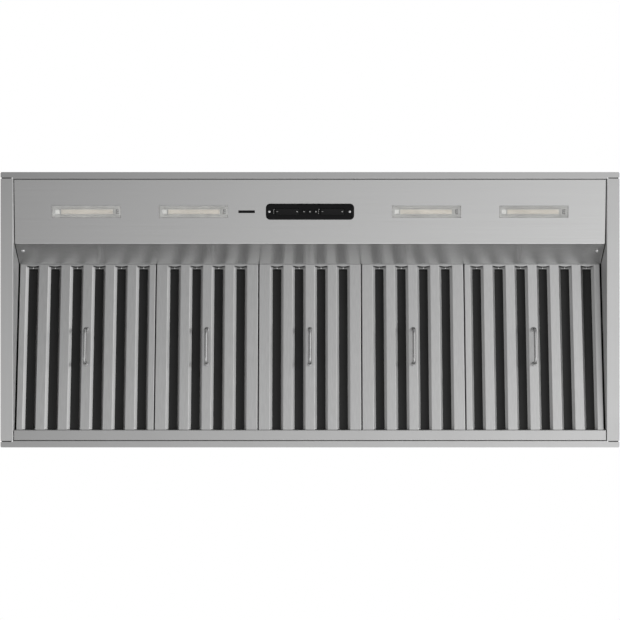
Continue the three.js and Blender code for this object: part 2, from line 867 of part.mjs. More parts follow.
// The scroll's section in the y-z plane: an opening spiral round the wheel that runs up into the outlet.
function scrollSection(outwards, top) {
  const front = outletFront - outwards;
  const start = spiralRadius(tongue) + outwards;
  const foot = [front, blowerZ + Math.sqrt(start ** 2 - (front - blowerY) ** 2)];
  const turn = Array.from({ length: spiralSteps }, (_, i) => {
    const angle = tongue + ((2 * Math.PI - tongue) * (i + 1)) / spiralSteps;
    const radius = spiralRadius(angle) + outwards;
    return [blowerY + radius * Math.cos(angle), blowerZ + radius * Math.sin(angle)];
  });
  return [[front, top], foot, ...turn, [outletRear + outwards, top]];
}

function scroll(x) {
  const [low, high] = [x - scrollWidth / 2, x + scrollWidth / 2];
  return cut(prism("x", scrollSection(blowerSheet, wallTop), low, high), [
    prism("x", scrollSection(0, wallTop + past), low + blowerSheet, high - blowerSheet),
    rod("x", [blowerY, blowerZ], inletRadius, low - past, high + past, wheelSides),
  ]);
}

place("scroll_left", scroll(-scrollMiddle), zincSheet);
place("scroll_right", scroll(scrollMiddle), zincSheet);

// A forward-curved wheel: two rims and a middle disc joined by leaning blades.
function wheel(x) {
  const hubX = [blowerY, blowerZ];
  const [low, high] = [x - wheelWidth / 2, x + wheelWidth / 2];
  const rim = (from, to) =>
    prism("x", circle(hubX, wheelRadius, wheelSides), from, to, [circle(hubX, wheelInner, wheelSides)]);
  const blade = block(
    [low + wheelRim / 2, high - wheelRim / 2],
    [wheelInner + bladeRoot, wheelRadius - bladeTip],
    [-bladeThickness / 2, bladeThickness / 2],
  );
  const middle = (wheelInner + wheelRadius) / 2;
  const leaned = blade.translate([0, -middle, 0]).rotate([bladeLean, 0, 0]).translate([0, middle, 0]);
  const blades = Array.from({ length: wheelBlades }, (_, i) =>
    leaned.rotate([(360 * i) / wheelBlades, 0, 0]).translate([0, blowerY, blowerZ]),
  );
  const solid = join([
    rim(low, low + wheelRim),
    rim(high - wheelRim, high),
    rod("x", hubX, wheelRadius - discInset, x - wheelDisc / 2, x + wheelDisc / 2, wheelSides),
    rod("x", hubX, wheelHubRadius, x - wheelHubLength / 2, x + wheelHubLength / 2, smallSides),
    ...blades,
  ]);
  return cut(solid, [rod("x", hubX, shaftRadius + seatGap, low, high, smallSides)]);
}

place("left_wheel", wheel(-scrollMiddle), zincSheet);
place("right_wheel", wheel(scrollMiddle), zincSheet);
const shaftEnd = scrollMiddle + scrollWidth / 2 + shaftOverhang;
place("blower_shaft", rod("x", [blowerY, blowerZ], shaftRadius, -shaftEnd, shaftEnd), polishedSteel);

const motorHalf = motorLength / 2;
const bossEnd = motorHalf + motorBossLength;
place(
  "blower_motor",
  cut(
    join([
      rod("x", [blowerY, blowerZ], motorRadius, -motorHalf, motorHalf, wheelSides),
      rod("x", [blowerY, blowerZ], motorBossRadius, -bossEnd, bossEnd),
    ]),
    [rod("x", [blowerY, blowerZ], shaftRadius + seatGap, -motorLength, motorLength)],
  ),
  motorPaint,
);

// The cradle is a strap round the motor, hung from the lid by a post and a foot.
const strapInner = motorRadius + seatGap;
place(
  "motor_cradle",
  cut(
    join([
      rod("x", [blowerY, blowerZ], strapInner + cradleSheet, -cradleWidth / 2, cradleWidth / 2, wheelSides),
      block(
        [-cradleWidth / 2, cradleWidth / 2],
        [blowerY - cradlePost / 2, blowerY + cradlePost / 2],
        [blowerZ + motorRadius, wallTop],
      ),
      block(
        [-cradleWidth / 2, cradleWidth / 2],
        [blowerY - cradleFoot / 2, blowerY + cradleFoot / 2],
        [wallTop - cradleSheet, wallTop],
      ),
    ]),
    [rod("x", [blowerY, blowerZ], strapInner, -cradleWidth, cradleWidth, wheelSides)],
  ),
  zincSheet,
);

// ---------------------------------------------------------------- lid and outlet

const outletHalf = scrollWidth / 2 - blowerSheet;
const boxX = wallX - boxInset - boxLength / 2;
place(
  "top_panel",
  cut(block([-wallX, wallX], [-wallY, wallY], [casingHeight - casingSheet, casingHeight]), [
    ...[-scrollMiddle, scrollMiddle].map((x) =>
      block(
        [x - outletHalf, x + outletHalf],
        [outletFront, outletRear],
        [casingHeight - casingSheet - past, casingHeight + past],
      ),
    ),
    rod("z", [boxX, 0], knockoutRadius, casingHeight - casingSheet - past, casingHeight + past),
  ]),
  brushedSteel,
);

const plenumFoot = casingHeight + seatGap;
const collarReach = collarRadius + collarFlange + plenumBorder;
const plenumHalfX = Math.max(scrollMiddle + scrollWidth / 2 + plenumMargin, collarReach);
const plenumFront = Math.min(outletFront - plenumMargin, ductY - collarReach);
const plenumRear = Math.max(outletRear + plenumMargin, ductY + collarReach);
const plenumTop = plenumFoot + plenumSkirt;

function ductPlenum() {
  const box = block([-plenumHalfX, plenumHalfX], [plenumFront, plenumRear], [plenumFoot, plenumTop]);
  const flange = block(
    [-plenumHalfX - plenumFlange, plenumHalfX + plenumFlange],
    [plenumFront - plenumFlange, plenumRear + plenumFlange],
    [plenumFoot, plenumFoot + ductSheet],
  );
  return cut(box.add(flange), [
    block(
      [-plenumHalfX + ductSheet, plenumHalfX - ductSheet],
      [plenumFront + ductSheet, plenumRear - ductSheet],
      [plenumFoot - past, plenumTop - ductSheet],
    ),
    rod("z", [0, ductY], collarRadius - 2 * ductSheet, plenumFoot, plenumTop + past, ductSides),
  ]);
}

place("duct_plenum", ductPlenum(), zincSheet);

const collarFoot = plenumTop + seatGap;
const collarTop = collarFoot + collarHeight;
const collarInner = collarRadius - ductSheet;
const pinZ = collarFoot + damperPinHeight;

// The collar stands on a flange; four small stops inside it hold the closed flaps.
function ductCollar() {
  const wall = prism("z", circle([0, ductY], collarRadius, ductSides), collarFoot, collarTop, [
    circle([0, ductY], collarInner, ductSides),
  ]);
  const flange = prism(
    "z",
    circle([0, ductY], collarRadius + collarFlange, ductSides),
    collarFoot,
    collarFoot + ductSheet,
    [circle([0, ductY], collarInner, ductSides)],
  );
  const stopTop = pinZ - damperSheet / 2 - seatGap;
  const stop = block(
    [collarInner - damperStop, collarInner + ductSheet / 2],
    [-damperStop / 2, damperStop / 2],
    [stopTop - ductSheet, stopTop],
  );
  const stops = [45, 135, 225, 315].map((angle) => stop.rotate([0, 0, angle]).translate([0, ductY, 0]));
  return cut(join([wall, flange, ...stops]), [
    rod("x", [ductY, pinZ], damperPinRadius + seatGap, -collarRadius - past, collarRadius + past),
  ]);
}

place("duct_collar", ductCollar(), zincSheet);
const pinEnd = collarRadius + damperPinEnd;
place("damper_pin", rod("x", [ductY, pinZ], damperPinRadius, -pinEnd, pinEnd), polishedSteel);

// Each flap is half a disc with three knuckles round the pin; the two flaps' knuckles lie side by side.
function damperFlap(side) {
  const radius = collarInner - damperGap;
  const opening = Math.asin(damperHinge / radius);
  const outline = arc([0, 0], radius, opening, Math.PI - opening, ductSides / 2).map(([x, y]) => [
    x,
    ductY + side * y,
  ]);
  const plate = prism("z", outline, pinZ - damperSheet / 2, pinZ + damperSheet / 2);
  const outer = damperPinRadius + seatGap + knuckleWall;
  const turn = side > 0 ? 1 : 0;
  const knuckles = Array.from({ length: knucklesPerFlap }, (_, i) => {
    const x = (2 * i + turn - knucklesPerFlap + 1 / 2) * knucklePitch;
    const from = x - knucklePitch / 2 + seatGap;
    const to = x + knucklePitch / 2 - seatGap;
    const tab = block(
      [from, to],
      side > 0 ? [ductY, ductY + damperHinge + past] : [ductY - damperHinge - past, ductY],
      [pinZ - damperSheet / 2, pinZ + damperSheet / 2],
    );
    return rod("x", [ductY, pinZ], outer, from, to).add(tab);
  });
  const bore = rod("x", [ductY, pinZ], damperPinRadius + seatGap, -collarRadius, collarRadius);
  return cut(join([plate, ...knuckles]), [bore]);
}

place("front_flap", damperFlap(-1), zincSheet);
place("rear_flap", damperFlap(1), zincSheet);

// ---------------------------------------------------------------- junction box

const boxFoot = casingHeight + seatGap;
const boxTop = boxFoot + boxHeight;
const boxXs = [boxX - boxLength / 2, boxX + boxLength / 2];
const boxYs = [-boxWidth / 2, boxWidth / 2];
const grown = ([a, b], by) => [a - by, b + by];
place(
  "junction_box",
  cut(block(boxXs, boxYs, [boxFoot, boxTop]), [
    block(grown(boxXs, -boxSheet), grown(boxYs, -boxSheet), [boxFoot + boxSheet, boxTop + past]),
    rod("x", [0, boxFoot + knockoutHeight], knockoutRadius, boxXs[1] - 2 * boxSheet, boxXs[1] + past),
    rod("z", [boxX, 0], knockoutRadius, boxFoot - past, boxFoot + 2 * boxSheet),
  ]),
  zincSheet,
);

// The cover is a channel: its front and rear edges turn down over the box, and its ends stay clear of it.
const [coverFront, coverRear] = grown(boxYs, seatGap);
const coverPath = [
  [coverFront, boxTop - coverSkirt],
  [coverFront, boxTop + seatGap],
  [coverRear, boxTop + seatGap],
  [coverRear, boxTop - coverSkirt],
];
place("junction_cover", prism("x", folded(coverPath, boxSheet), ...boxXs), zincSheet);

export default hood;
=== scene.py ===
import bmesh
import bpy
import numpy as np
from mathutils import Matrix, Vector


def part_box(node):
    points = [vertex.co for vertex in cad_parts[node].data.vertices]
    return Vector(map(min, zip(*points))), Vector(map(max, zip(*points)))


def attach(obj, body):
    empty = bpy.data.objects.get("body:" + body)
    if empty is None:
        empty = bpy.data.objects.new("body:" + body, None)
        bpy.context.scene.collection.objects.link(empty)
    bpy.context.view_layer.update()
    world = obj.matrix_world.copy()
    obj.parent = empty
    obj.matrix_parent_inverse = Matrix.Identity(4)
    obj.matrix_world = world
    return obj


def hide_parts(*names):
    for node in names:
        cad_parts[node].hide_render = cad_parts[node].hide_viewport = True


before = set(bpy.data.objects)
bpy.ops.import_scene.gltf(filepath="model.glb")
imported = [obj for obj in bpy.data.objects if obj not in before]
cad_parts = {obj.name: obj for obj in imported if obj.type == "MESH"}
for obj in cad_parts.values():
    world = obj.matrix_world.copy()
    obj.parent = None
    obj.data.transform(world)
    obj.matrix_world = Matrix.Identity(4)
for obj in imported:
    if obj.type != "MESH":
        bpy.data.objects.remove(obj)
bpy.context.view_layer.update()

# ---------------------------------------------------------------- studio
# The hood hangs over a pale studio floor, and the camera looks straight up at it from below. The light comes
# softly from the right, so steel that faces down runs from grey on the left to pale on the right.
EYE_BELOW_RIM = 2.4
EYE_BEHIND_MIDDLE = 0.0005
EYE_LENS = 73.23
EYE_SENSOR = 36
EYE_FARTHEST = 60
FLOOR_LEVEL = -2.9
FLOOR_HALF = 7.0
FLOOR_GREY = 0.8
FLOOR_GLOW = 0.96
scene = bpy.context.scene
scene.view_settings.view_transform = "Standard"

eye_data = bpy.data.cameras.new("eye")
eye_data.lens = EYE_LENS
eye_data.sensor_width = EYE_SENSOR
eye_data.clip_end = EYE_FARTHEST
eye = bpy.data.objects.new("eye", eye_data)
eye.location = (0, EYE_BEHIND_MIDDLE, -EYE_BELOW_RIM)
eye.rotation_euler = (np.pi, 0, 0)
scene.collection.objects.link(eye)
scene.camera = eye


class Nodes:
    """A short way to add nodes to a tree and to join their sockets."""

    def __init__(self, tree):
        self.tree = tree

    def add(self, kind, values=None, **settings):
        node = self.tree.nodes.new(kind)
        for key, value in settings.items():
            setattr(node, key, value)
        for key, value in (values or {}).items():
            if isinstance(value, bpy.types.NodeSocket):
                self.link(value, node.inputs[key])
            else:
                node.inputs[key].default_value = value
        return node

    def link(self, a, b):
        self.tree.links.new(a, b)

    def math(self, operation, a, b):
        return self.add("ShaderNodeMath", {0: a, 1: b}, operation=operation).outputs[0]

    def plus(self, a, b):
        return self.math("ADD", a, b)

    def times(self, a, b):
        return self.math("MULTIPLY", a, b)

    def span(self, value, low, high, out_low, out_high):
        """Value carried from one range to another, and held at its ends."""
        settings = {"Value": value, 1: low, 2: high, 3: out_low, 4: out_high}
        return self.add("ShaderNodeMapRange", settings, clamp=True).outputs[0]

    def noise(self, place, scale, detail, rough=0.5):
        settings = {"Vector": place, "Scale": scale, "Detail": detail, "Roughness": rough}
        return self.add("ShaderNodeTexNoise", settings).outputs["Fac"]

    def relief(self, height, strength):
        """A fine relief on the surface, 0.2 mm deep at most."""
        settings = {"Height": height, "Strength": strength, "Distance": 0.0002}
        return self.add("ShaderNodeBump", settings).outputs[0]


def grey(value):
    return (value, value, value, 1.0)


world = bpy.data.worlds.new("studio")
scene.world = world
world.use_nodes = True
world.node_tree.nodes.clear()
sky = Nodes(world.node_tree)
rays = sky.add("ShaderNodeLightPath").outputs
towards = sky.add("ShaderNodeSeparateXYZ", {0: sky.add("ShaderNodeTexCoord").outputs["Generated"]}).outputs
seen = sky.math("MAXIMUM", rays["Is Camera Ray"], rays["Is Transmission Ray"])
sides = sky.span(towards["X"], -0.8, 0.8, 0.6, 1.12)
walls = sky.times(sky.span(towards["Z"], -0.25, 0.6, 0.42, 0.95), sides)
# Towards the rear the studio is bright low down and dark at
# the horizon. The riser mirrors both, by way of the bars.
rear = sky.span(towards["Y"], 0.4, 0.95, 0.0, 1.0)
rear_low = sky.span(towards["Z"], -0.27, -0.17, 2.2, 0.02)
rear_tone = sky.plus(rear_low, sky.span(towards["Z"], 0.0, 0.12, 0.0, 1.0))
rear_change = sky.times(rear, sky.math("SUBTRACT", rear_tone, 1.0))
walls = sky.times(walls, sky.plus(1.0, rear_change))
glossy = sky.times(rays["Is Glossy Ray"], walls)
diffuse = sky.math("SUBTRACT", 1.0, sky.math("MAXIMUM", seen, rays["Is Glossy Ray"]))
strength = sky.plus(sky.plus(seen, glossy), diffuse)
background = sky.add("ShaderNodeBackground", {"Color": grey(1.0), "Strength": strength})
sky.add("ShaderNodeOutputWorld", {"Surface": background.outputs[0]})

floor_mesh = bpy.data.meshes.new("floor")
floor_corners = np.array([(-1, -1, 0), (1, -1, 0), (1, 1, 0), (-1, 1, 0)]) * FLOOR_HALF
floor_mesh.from_pydata(floor_corners + (0, 0, FLOOR_LEVEL), [], [(0, 1, 2, 3)])
floor = bpy.data.objects.new("floor", floor_mesh)
scene.collection.objects.link(floor)
floor_paint = bpy.data.materials.new("floor_paint")
floor_paint.use_nodes = True
floor_paint.node_tree.nodes.clear()
paint = Nodes(floor_paint.node_tree)
rays = paint.add("ShaderNodeLightPath").outputs
place = paint.add("ShaderNodeSeparateXYZ", {0: paint.add("ShaderNodeTexCoord").outputs["Object"]}).outputs
across = paint.span(place["X"], -1.9, 1.9, 0.36, 1.0)
across = paint.times(across, paint.span(place["Y"], -2.4, 2.4, 0.4, 1.6))
across = paint.times(across, paint.span(place["Y"], 2.4, 4.0, 1.0, 0.6))
shown = paint.math("MAXIMUM", rays["Is Camera Ray"], rays["Is Transmission Ray"])
tone = paint.math("MAXIMUM", shown, across)
lit = paint.times(paint.math("MAXIMUM", shown, rays["Is Glossy Ray"]), FLOOR_GLOW)
matt = paint.add("ShaderNodeBsdfDiffuse", {"Color": grey(FLOOR_GREY)})
glow = paint.add("ShaderNodeEmission", {"Color": grey(1.0), "Strength": tone})
mixed = paint.add("ShaderNodeMixShader", {0: lit, 1: matt.outputs[0], 2: glow.outputs[0]})
# A camera that stands under the floor looks through it, up at the hood.
underside = paint.add("ShaderNodeNewGeometry").outputs["Backfacing"]
under = paint.times(underside, rays["Is Camera Ray"])
clear = paint.add("ShaderNodeBsdfTransparent")
mixed = paint.add("ShaderNodeMixShader", {0: under, 1: mixed.outputs[0], 2: clear.outputs[0]})
paint.add("ShaderNodeOutputMaterial", {"Surface": mixed.outputs[0]})
floor_mesh.materials.append(floor_paint)


def soft_lamp(name, place, aim, size, power):
    """A large oblong lamp at a place, turned towards the point that it lights."""
    data = bpy.data.lights.new(name, "AREA")
    data.shape = "RECTANGLE"
    data.size, data.size_y = size
    data.energy = power
    lamp = bpy.data.objects.new(name, data)
    lamp.location = place
    x, y, z = np.array(aim) - np.array(place)
    lamp.rotation_euler = (np.arctan2(np.hypot(x, y), -z), 0, np.arctan2(y, x) - np.pi / 2)
    scene.collection.objects.link(lamp)


soft_lamp("right_lamp", (2.5, -0.5, -1.3), (0, 0, 0.05), (2.2, 2.2), 10)
soft_lamp("left_lamp", (-2.6, 0.6, -1.9), (0, 0, 0.05), (1.6, 1.6), 4)
soft_lamp("upper_lamp", (0.6, 1.6, 2.8), (0, 0, 0.3), (3.0, 2.4), 34)

# ---------------------------------------------------------------- casing
# Four panels of 1.2 mm stainless sheet, each folded once at the foot into the rim and once at the top into
# a hem. The long panels carry the rim's corners, and the side panels fit between them with a hairline seam.
MM = 0.001
MERGE = 1e-6
CREASE = 35.0
CASING_SHEET = 1.2
BEND_RADIUS = 1.1
BEND_EASE = 0.35
SEAM = 0.3
RIM_SEAM = 1.0
RIM_CORNER = 2.5
TOP_HEM = 5.0
HEM_NOTCH = 1.6
WALL_STATIONS = np.linspace(-500, 500, 21)
SIDE_STATIONS = (60, 200)
LAP_HALF = (9.5, 7.0)
LAP_ROUND = 2.0
LAP_SHEET = 1.2
LAP_EASE = 0.2
FIXING_HOLE = 2.5
FIXING_LEVEL = 40.0
FIXING_SPREAD = 300.0


def corners_mm(node):
    """A CAD node's lowest and highest corner in millimetres."""
    return [np.array(corner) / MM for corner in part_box(node)]


def grid(x, y, z):
    """Points from three arrays of coordinates, each spread over the shape of all three."""
    return np.stack(np.broadcast_arrays(x, y, z), -1)


def fold(corners, radius, steps=4):
    """A sheet's section: straight runs between corners, and at each inner
    corner an arc of the bend radius. A point just before and after each arc
    keeps the runs flat. Returns the points, and which lie in a bend."""
    corners = np.array(corners, float)
    points, bends = [corners[:1]], [np.zeros(1)]
    for before, corner, after in zip(corners, corners[1:], corners[2:]):
        back = (before - corner) / np.linalg.norm(before - corner)
        ahead = (after - corner) / np.linalg.norm(after - corner)
        half = np.arccos(np.clip(back @ ahead, -1, 1)) / 2
        middle = (back + ahead) / np.linalg.norm(back + ahead)
        centre = corner + middle * radius / np.sin(half)
        start = corner + back * radius / np.tan(half) - centre
        end = corner + ahead * radius / np.tan(half) - centre
        sweep = np.pi - 2 * half
        turn = np.linspace(0, 1, steps + 1)[:, None]
        arc = (np.sin((1 - turn) * sweep) * start + np.sin(turn * sweep) * end) / np.sin(sweep)
        points += [[centre + start + back * BEND_EASE], centre + arc, [centre + end + ahead * BEND_EASE]]
        bends += [np.zeros(1), np.ones(steps + 1), np.zeros(1)]
    return np.concatenate([*points, corners[-1:]]), np.concatenate([*bends, np.zeros(1)])


def with_points(section, bend, place, points):
    """A folded section with more points on a straight run, put in before a place."""
    places = [place] * len(points)
    return np.insert(section, places, points, axis=0), np.insert(bend, places, 0)


def carried(section, stations, axis):
    """A section carried along x or y: point (i, j) is the section's point i at station j."""
    u, v = section[:, None, 0], section[:, None, 1]
    return grid(stations, u, v) if axis == "x" else grid(u, stations, v)


def rounded_outline(half_x, half_y, radius, steps=5):
    """A rectangle with round corners, as one row of points that ends where it starts."""
    quarter = np.radians(np.linspace(0, 90, steps + 1))
    angle = np.concatenate([quarter + np.radians(90) * turn for turn in range(4)])
    x = np.repeat([1, -1, -1, 1], steps + 1) * (half_x - radius) + radius * np.cos(angle)
    y = np.repeat([1, 1, -1, -1], steps + 1) * (half_y - radius) + radius * np.sin(angle)
    return np.append(x, x[0]), np.append(y, y[0])


def stacked(rings, x=0.0, y=0.0):
    """Rounded outlines (half length, half width, corner
    radius, level) joined one after the other into a skin."""
    outlines = [rounded_outline(*size) for *size, level in rings]
    return np.stack([grid(u + x, v + y, ring[3]) for (u, v), ring in zip(outlines, rings)])


def hole_ring(half, radius, sides=24):
    """The two coordinates of a skin between a square and the round hole in its middle."""
    angle = np.radians(np.linspace(-45, 315, sides + 1))
    square = half / np.maximum(np.abs(np.cos(angle)), np.abs(np.sin(angle)))
    reach = np.stack([square, np.full_like(square, radius)])
    return reach * np.cos(angle), reach * np.sin(angle)


def rework(source, target, merge, *steps):
    """Merges a mesh's doubled points, takes further steps with it, and puts what comes out in a mesh."""
    build = bmesh.new()
    build.from_mesh(source)
    bmesh.ops.remove_doubles(build, verts=build.verts, dist=merge)
    for step in steps:
        step(build)
    build.to_mesh(target)
    build.free()


def dress(thing, finish, body, stands_for):
    """Gives a piece its finish and its body, and hides the CAD nodes that it stands for."""
    thing.data.materials.clear()
    thing.data.materials.append(finish)
    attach(thing, body)
    if stands_for:
        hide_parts(*stands_for)


def piece(name, patches, finish, stands_for=(), body="casing", sheet=0.0, crease=CREASE):
    """One object from grids of points in millimetres. A patch is its points alone, or its points,
    which of their cells are kept and the bend mask. A sheet's thickness is laid behind the surface."""
    vertices, faces, masks, start = [], [], [], 0
    for patch in patches:
        points, keep, bend = patch if isinstance(patch, tuple) else (patch, ..., 0.0)
        rows, columns = points.shape[:2]
        index = start + np.arange(rows * columns).reshape(rows, columns)
        cells = np.stack([index[:-1, :-1], index[1:, :-1], index[1:, 1:], index[:-1, 1:]], -1)
        faces.append(cells[keep].reshape(-1, 4))
        vertices.append(points.reshape(-1, 3))
        masks.append(np.broadcast_to(bend, (rows, columns)).ravel())
        start += rows * columns
    used, faces = np.unique(np.concatenate(faces), return_inverse=True)
    mesh = bpy.data.meshes.new(name)
    mesh.from_pydata(np.concatenate(vertices)[used] * MM, [], faces.reshape(-1, 4).tolist())
    mesh.attributes.new("bend", "FLOAT", "POINT").data.foreach_set("value", np.concatenate(masks)[used])
    rework(mesh, mesh, MERGE)
    thing = bpy.data.objects.new(name, mesh)
    scene.collection.objects.link(thing)
    if sheet:
        wall = thing.modifiers.new("sheet", "SOLIDIFY")
        wall.thickness = sheet * MM
        wall.offset = -1
        wall.use_even_offset = True
        shown_thing = thing.evaluated_get(bpy.context.evaluated_depsgraph_get())
        solid = bpy.data.meshes.new_from_object(shown_thing)
        thing.modifiers.clear()
        thing.data = solid
    thing.data.shade_smooth()
    thing.data.set_sharp_from_angle(angle=np.radians(crease))
    dress(thing, finish, body, stands_for)
    return thing


def outwards(build):
    bmesh.ops.recalc_face_normals(build, faces=build.faces)


def solid_piece(name, skins, finish, stands_for=(), body="casing", crease=CREASE):
    """One object from closed skins of points in millimetres. Doubled points are merged,
    which closes seams and poles, and then each skin is turned to face outwards."""
    mesh = piece(name, skins, finish, stands_for, body, 0.0, crease).data
    rework(mesh, mesh, 2 * MERGE, outwards)
    mesh.set_sharp_from_angle(angle=np.radians(crease))


def group(name, inputs, outputs):
    """An empty shader node group with named inputs (name, kind, value) and outputs (name, kind)."""
    tree = bpy.data.node_groups.new(name, "ShaderNodeTree")
    for title, kind, value in inputs:
        socket = tree.interface.new_socket(title, in_out="INPUT", socket_type=kind)
        socket.default_value = value
    for title, kind in outputs:
        tree.interface.new_socket(title, in_out="OUTPUT", socket_type=kind)
    nodes = Nodes(tree)
    return tree, nodes, nodes.add("NodeGroupInput").outputs, nodes.add("NodeGroupOutput")


# Brushed grain: long fine lines from noise squeezed across
# the brush direction, with broader bands under them.
brushed_grain, nodes, given, result = group(
    "brushed_grain",
    [("Place", "NodeSocketVector", (0, 0, 0)), ("Squeeze", "NodeSocketVector", (4, 900, 900))],
    [("Lines", "NodeSocketFloat"), ("Bands", "NodeSocketFloat")],
)
squeezed = nodes.add("ShaderNodeVectorMath", {0: given["Place"], 1: given["Squeeze"]}, operation="MULTIPLY")
fine = nodes.noise(squeezed.outputs[0], 1.0, 3.0, 0.65)
broad = nodes.noise(squeezed.outputs[0], 0.16, 2.0)
nodes.link(fine, result.inputs["Lines"])
nodes.link(broad, result.inputs["Bands"])

# Handling marks: soft cloudy patches, where hands and wiping cloths have dulled the metal.
handling_marks, nodes, given, result = group(
    "handling_marks",
    [("Place", "NodeSocketVector", (0, 0, 0)), ("Size", "NodeSocketFloat", 14.0)],
    [("Mask", "NodeSocketFloat")],
)
cloud = nodes.noise(given["Place"], given["Size"], 4.0, 0.6)
nodes.link(nodes.span(cloud, 0.35, 0.7, 0.0, 1.0), result.inputs["Mask"])


def use(nodes, tree, **values):
    """Places a shader node group with its values."""
    return nodes.add("ShaderNodeGroup", values, node_tree=tree).outputs


def blank_finish(name, slot, **surface):
    """A material with only a surface shader, whose uniform values stand
    on its own sockets. Its slot is not used."""
    material = bpy.data.materials.new(name)
    material.use_nodes = True
    nodes = Nodes(material.node_tree)
    shader = material.node_tree.nodes["Principled BSDF"]
    for title, value in surface.items():
        shader.inputs[title.replace("_", " ").title().replace("Ior", "IOR")].default_value = value
    return material, nodes, shader.inputs, nodes.add("ShaderNodeTexCoord").outputs["Object"]


def steel(name, squeeze, tone, rough, contrast=0.03, streaks=0.3, bend_highlight=1.15, spread=0.8):
    """Brushed stainless steel: the fine lines and the broader streaks change
    its tone and its gloss a little, and bends are painted slightly brighter as a painted highlight.
    Reflections spread across the brush lines and are narrow along them."""
    material, nodes, surface, place = blank_finish(name, "brushed_steel", metallic=1.0, anisotropic=spread)
    across = [float(size > min(squeeze)) for size in squeeze]
    nodes.link(nodes.add("ShaderNodeCombineXYZ", dict(enumerate(across))).outputs[0], surface["Tangent"])
    grain = use(nodes, brushed_grain, Place=place, Squeeze=squeeze)
    marks = use(nodes, handling_marks, Place=place)["Mask"]
    fine = nodes.times(grain["Lines"], 1 - streaks)
    lines = nodes.plus(fine, nodes.times(grain["Bands"], streaks))
    bend = nodes.add("ShaderNodeAttribute", attribute_name="bend").outputs["Fac"]
    level = nodes.span(lines, 0.35, 0.65, tone * (1 - contrast), tone * (1 + contrast))
    # Painted highlight: the colour is raised along the bend mask, standing in for the bright line a bend
    # catches.
    level = nodes.times(level, nodes.span(bend, 0, 1, 1, bend_highlight))
    colour = nodes.add("ShaderNodeCombineColor", {0: level, 1: level, 2: nodes.times(level, 0.997)})
    nodes.link(colour.outputs[0], surface["Base Color"])
    haze = nodes.times(marks, rough * 0.08)
    dull = nodes.plus(nodes.span(lines, 0.3, 0.7, rough * 0.88, rough * 1.12), haze)
    nodes.link(dull, surface["Roughness"])
    nodes.link(nodes.relief(lines, 0.06), surface["Normal"])
    return material


ALONG_X = (8.0, 2500.0, 2500.0)
ALONG_Y = (2500.0, 8.0, 2500.0)
steel_along_x = steel("steel_brushed_along_x", ALONG_X, 0.645, 0.34)
steel_along_y = steel("steel_brushed_along_y", ALONG_Y, 0.645, 0.42)
rim_low, rim_high = corners_mm("front_panel")
half_width, half_depth, wall_top = rim_high[0], -rim_low[1], rim_high[2]
hem_level = wall_top - CASING_SHEET
wall_x, wall_y = corners_mm("top_panel")[1][:2]
inner_x, inner_y = wall_x - CASING_SHEET, wall_y - CASING_SHEET


def long_panel(side):
    """Hem, wall and rim as one section, carried across the hood; only the rim goes
    on past the side walls, and its outer edge is drawn in round the corners."""
    corners = [(inner_y - TOP_HEM, hem_level), (inner_y, hem_level), (inner_y, 0), (half_depth, 0)]
    section, bend = with_points(*fold(corners, BEND_RADIUS), -1, [(wall_y + 1, 0)])
    corner = half_width - RIM_CORNER + RIM_CORNER * np.sin(np.linspace(0, np.pi / 2, 6))
    stations = np.concatenate([-corner[::-1], [-wall_x], WALL_STATIONS, [wall_x], corner])
    points = carried(section, stations, "x")
    beyond = np.clip(np.abs(stations) - (half_width - RIM_CORNER), 0, RIM_CORNER)
    points[-1, :, 1] -= RIM_CORNER - np.sqrt(RIM_CORNER**2 - beyond**2)
    keep = np.ones((len(section) - 1, len(stations) - 1), bool)
    keep[:-1, np.abs(stations[:-1] + stations[1:]) / 2 > wall_x] = False
    order = slice(None, None, side)
    return points[order] * (1, side, 1), keep[order], bend[order, None]


def side_wall(side):
    """Hem, wall and rim as one section, carried from front to rear
    between the long panels, with a round hole for each fixing screw."""
    corners = [(inner_x - TOP_HEM, hem_level), (inner_x, hem_level), (inner_x, 0), (half_width, 0)]
    section, bend = fold(corners, BEND_RADIUS)
    around = 2 * FIXING_HOLE
    levels = [hem_level - HEM_NOTCH, FIXING_LEVEL + around, FIXING_LEVEL - around]
    wall_row = np.argmax(section[:, 1] < levels[0])
    section, bend = with_points(section, bend, wall_row, [(inner_x, level) for level in levels])
    seam_x = wall_x + SEAM
    section, bend = with_points(section, bend, -1, [(seam_x, 0)])
    wall_end, rim_end, hem_end = inner_y - SEAM, wall_y - RIM_SEAM, inner_y - TOP_HEM - SEAM
    hole_y = FIXING_SPREAD / 2
    ends = [hole_y - around, hole_y + around, hem_end, wall_end, rim_end]
    half = np.sort([0, *SIDE_STATIONS, *ends])
    stations = np.concatenate([-half[:0:-1], half])
    middle_y = np.abs(stations[:-1] + stations[1:])[None, :] / 2
    middle = (section[:-1] + section[1:])[:, None] / 2
    keep = middle_y < np.where(middle[..., 0] > seam_x, rim_end, wall_end)
    keep &= (middle[..., 1] < levels[0]) | (middle_y < hem_end)
    keep &= (np.abs(middle[..., 1] - FIXING_LEVEL) > FIXING_HOLE) | (np.abs(middle_y - hole_y) > FIXING_HOLE)
    order, mirror = slice(None, None, -side), (side, 1, 1)
    u, v = hole_ring(around, FIXING_HOLE)
    holes = [grid(inner_x, end * hole_y + u, FIXING_LEVEL + v)[::side] * mirror for end in (-1, 1)]
    return [(carried(section, stations, "y")[order] * mirror, keep[order], bend[order, None]), *holes]


for word, side in (("front", -1), ("rear", 1)):
    piece(f"{word}_casing_panel", [long_panel(side)], steel_along_x, [f"{word}_panel"], sheet=CASING_SHEET)
for word, side in (("left", -1), ("right", 1)):
    piece(f"{word}_casing_panel", side_wall(side), steel_along_y, [f"{word}_side_panel"], sheet=CASING_SHEET)
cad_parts["top_panel"].data.materials[0] = steel_along_x
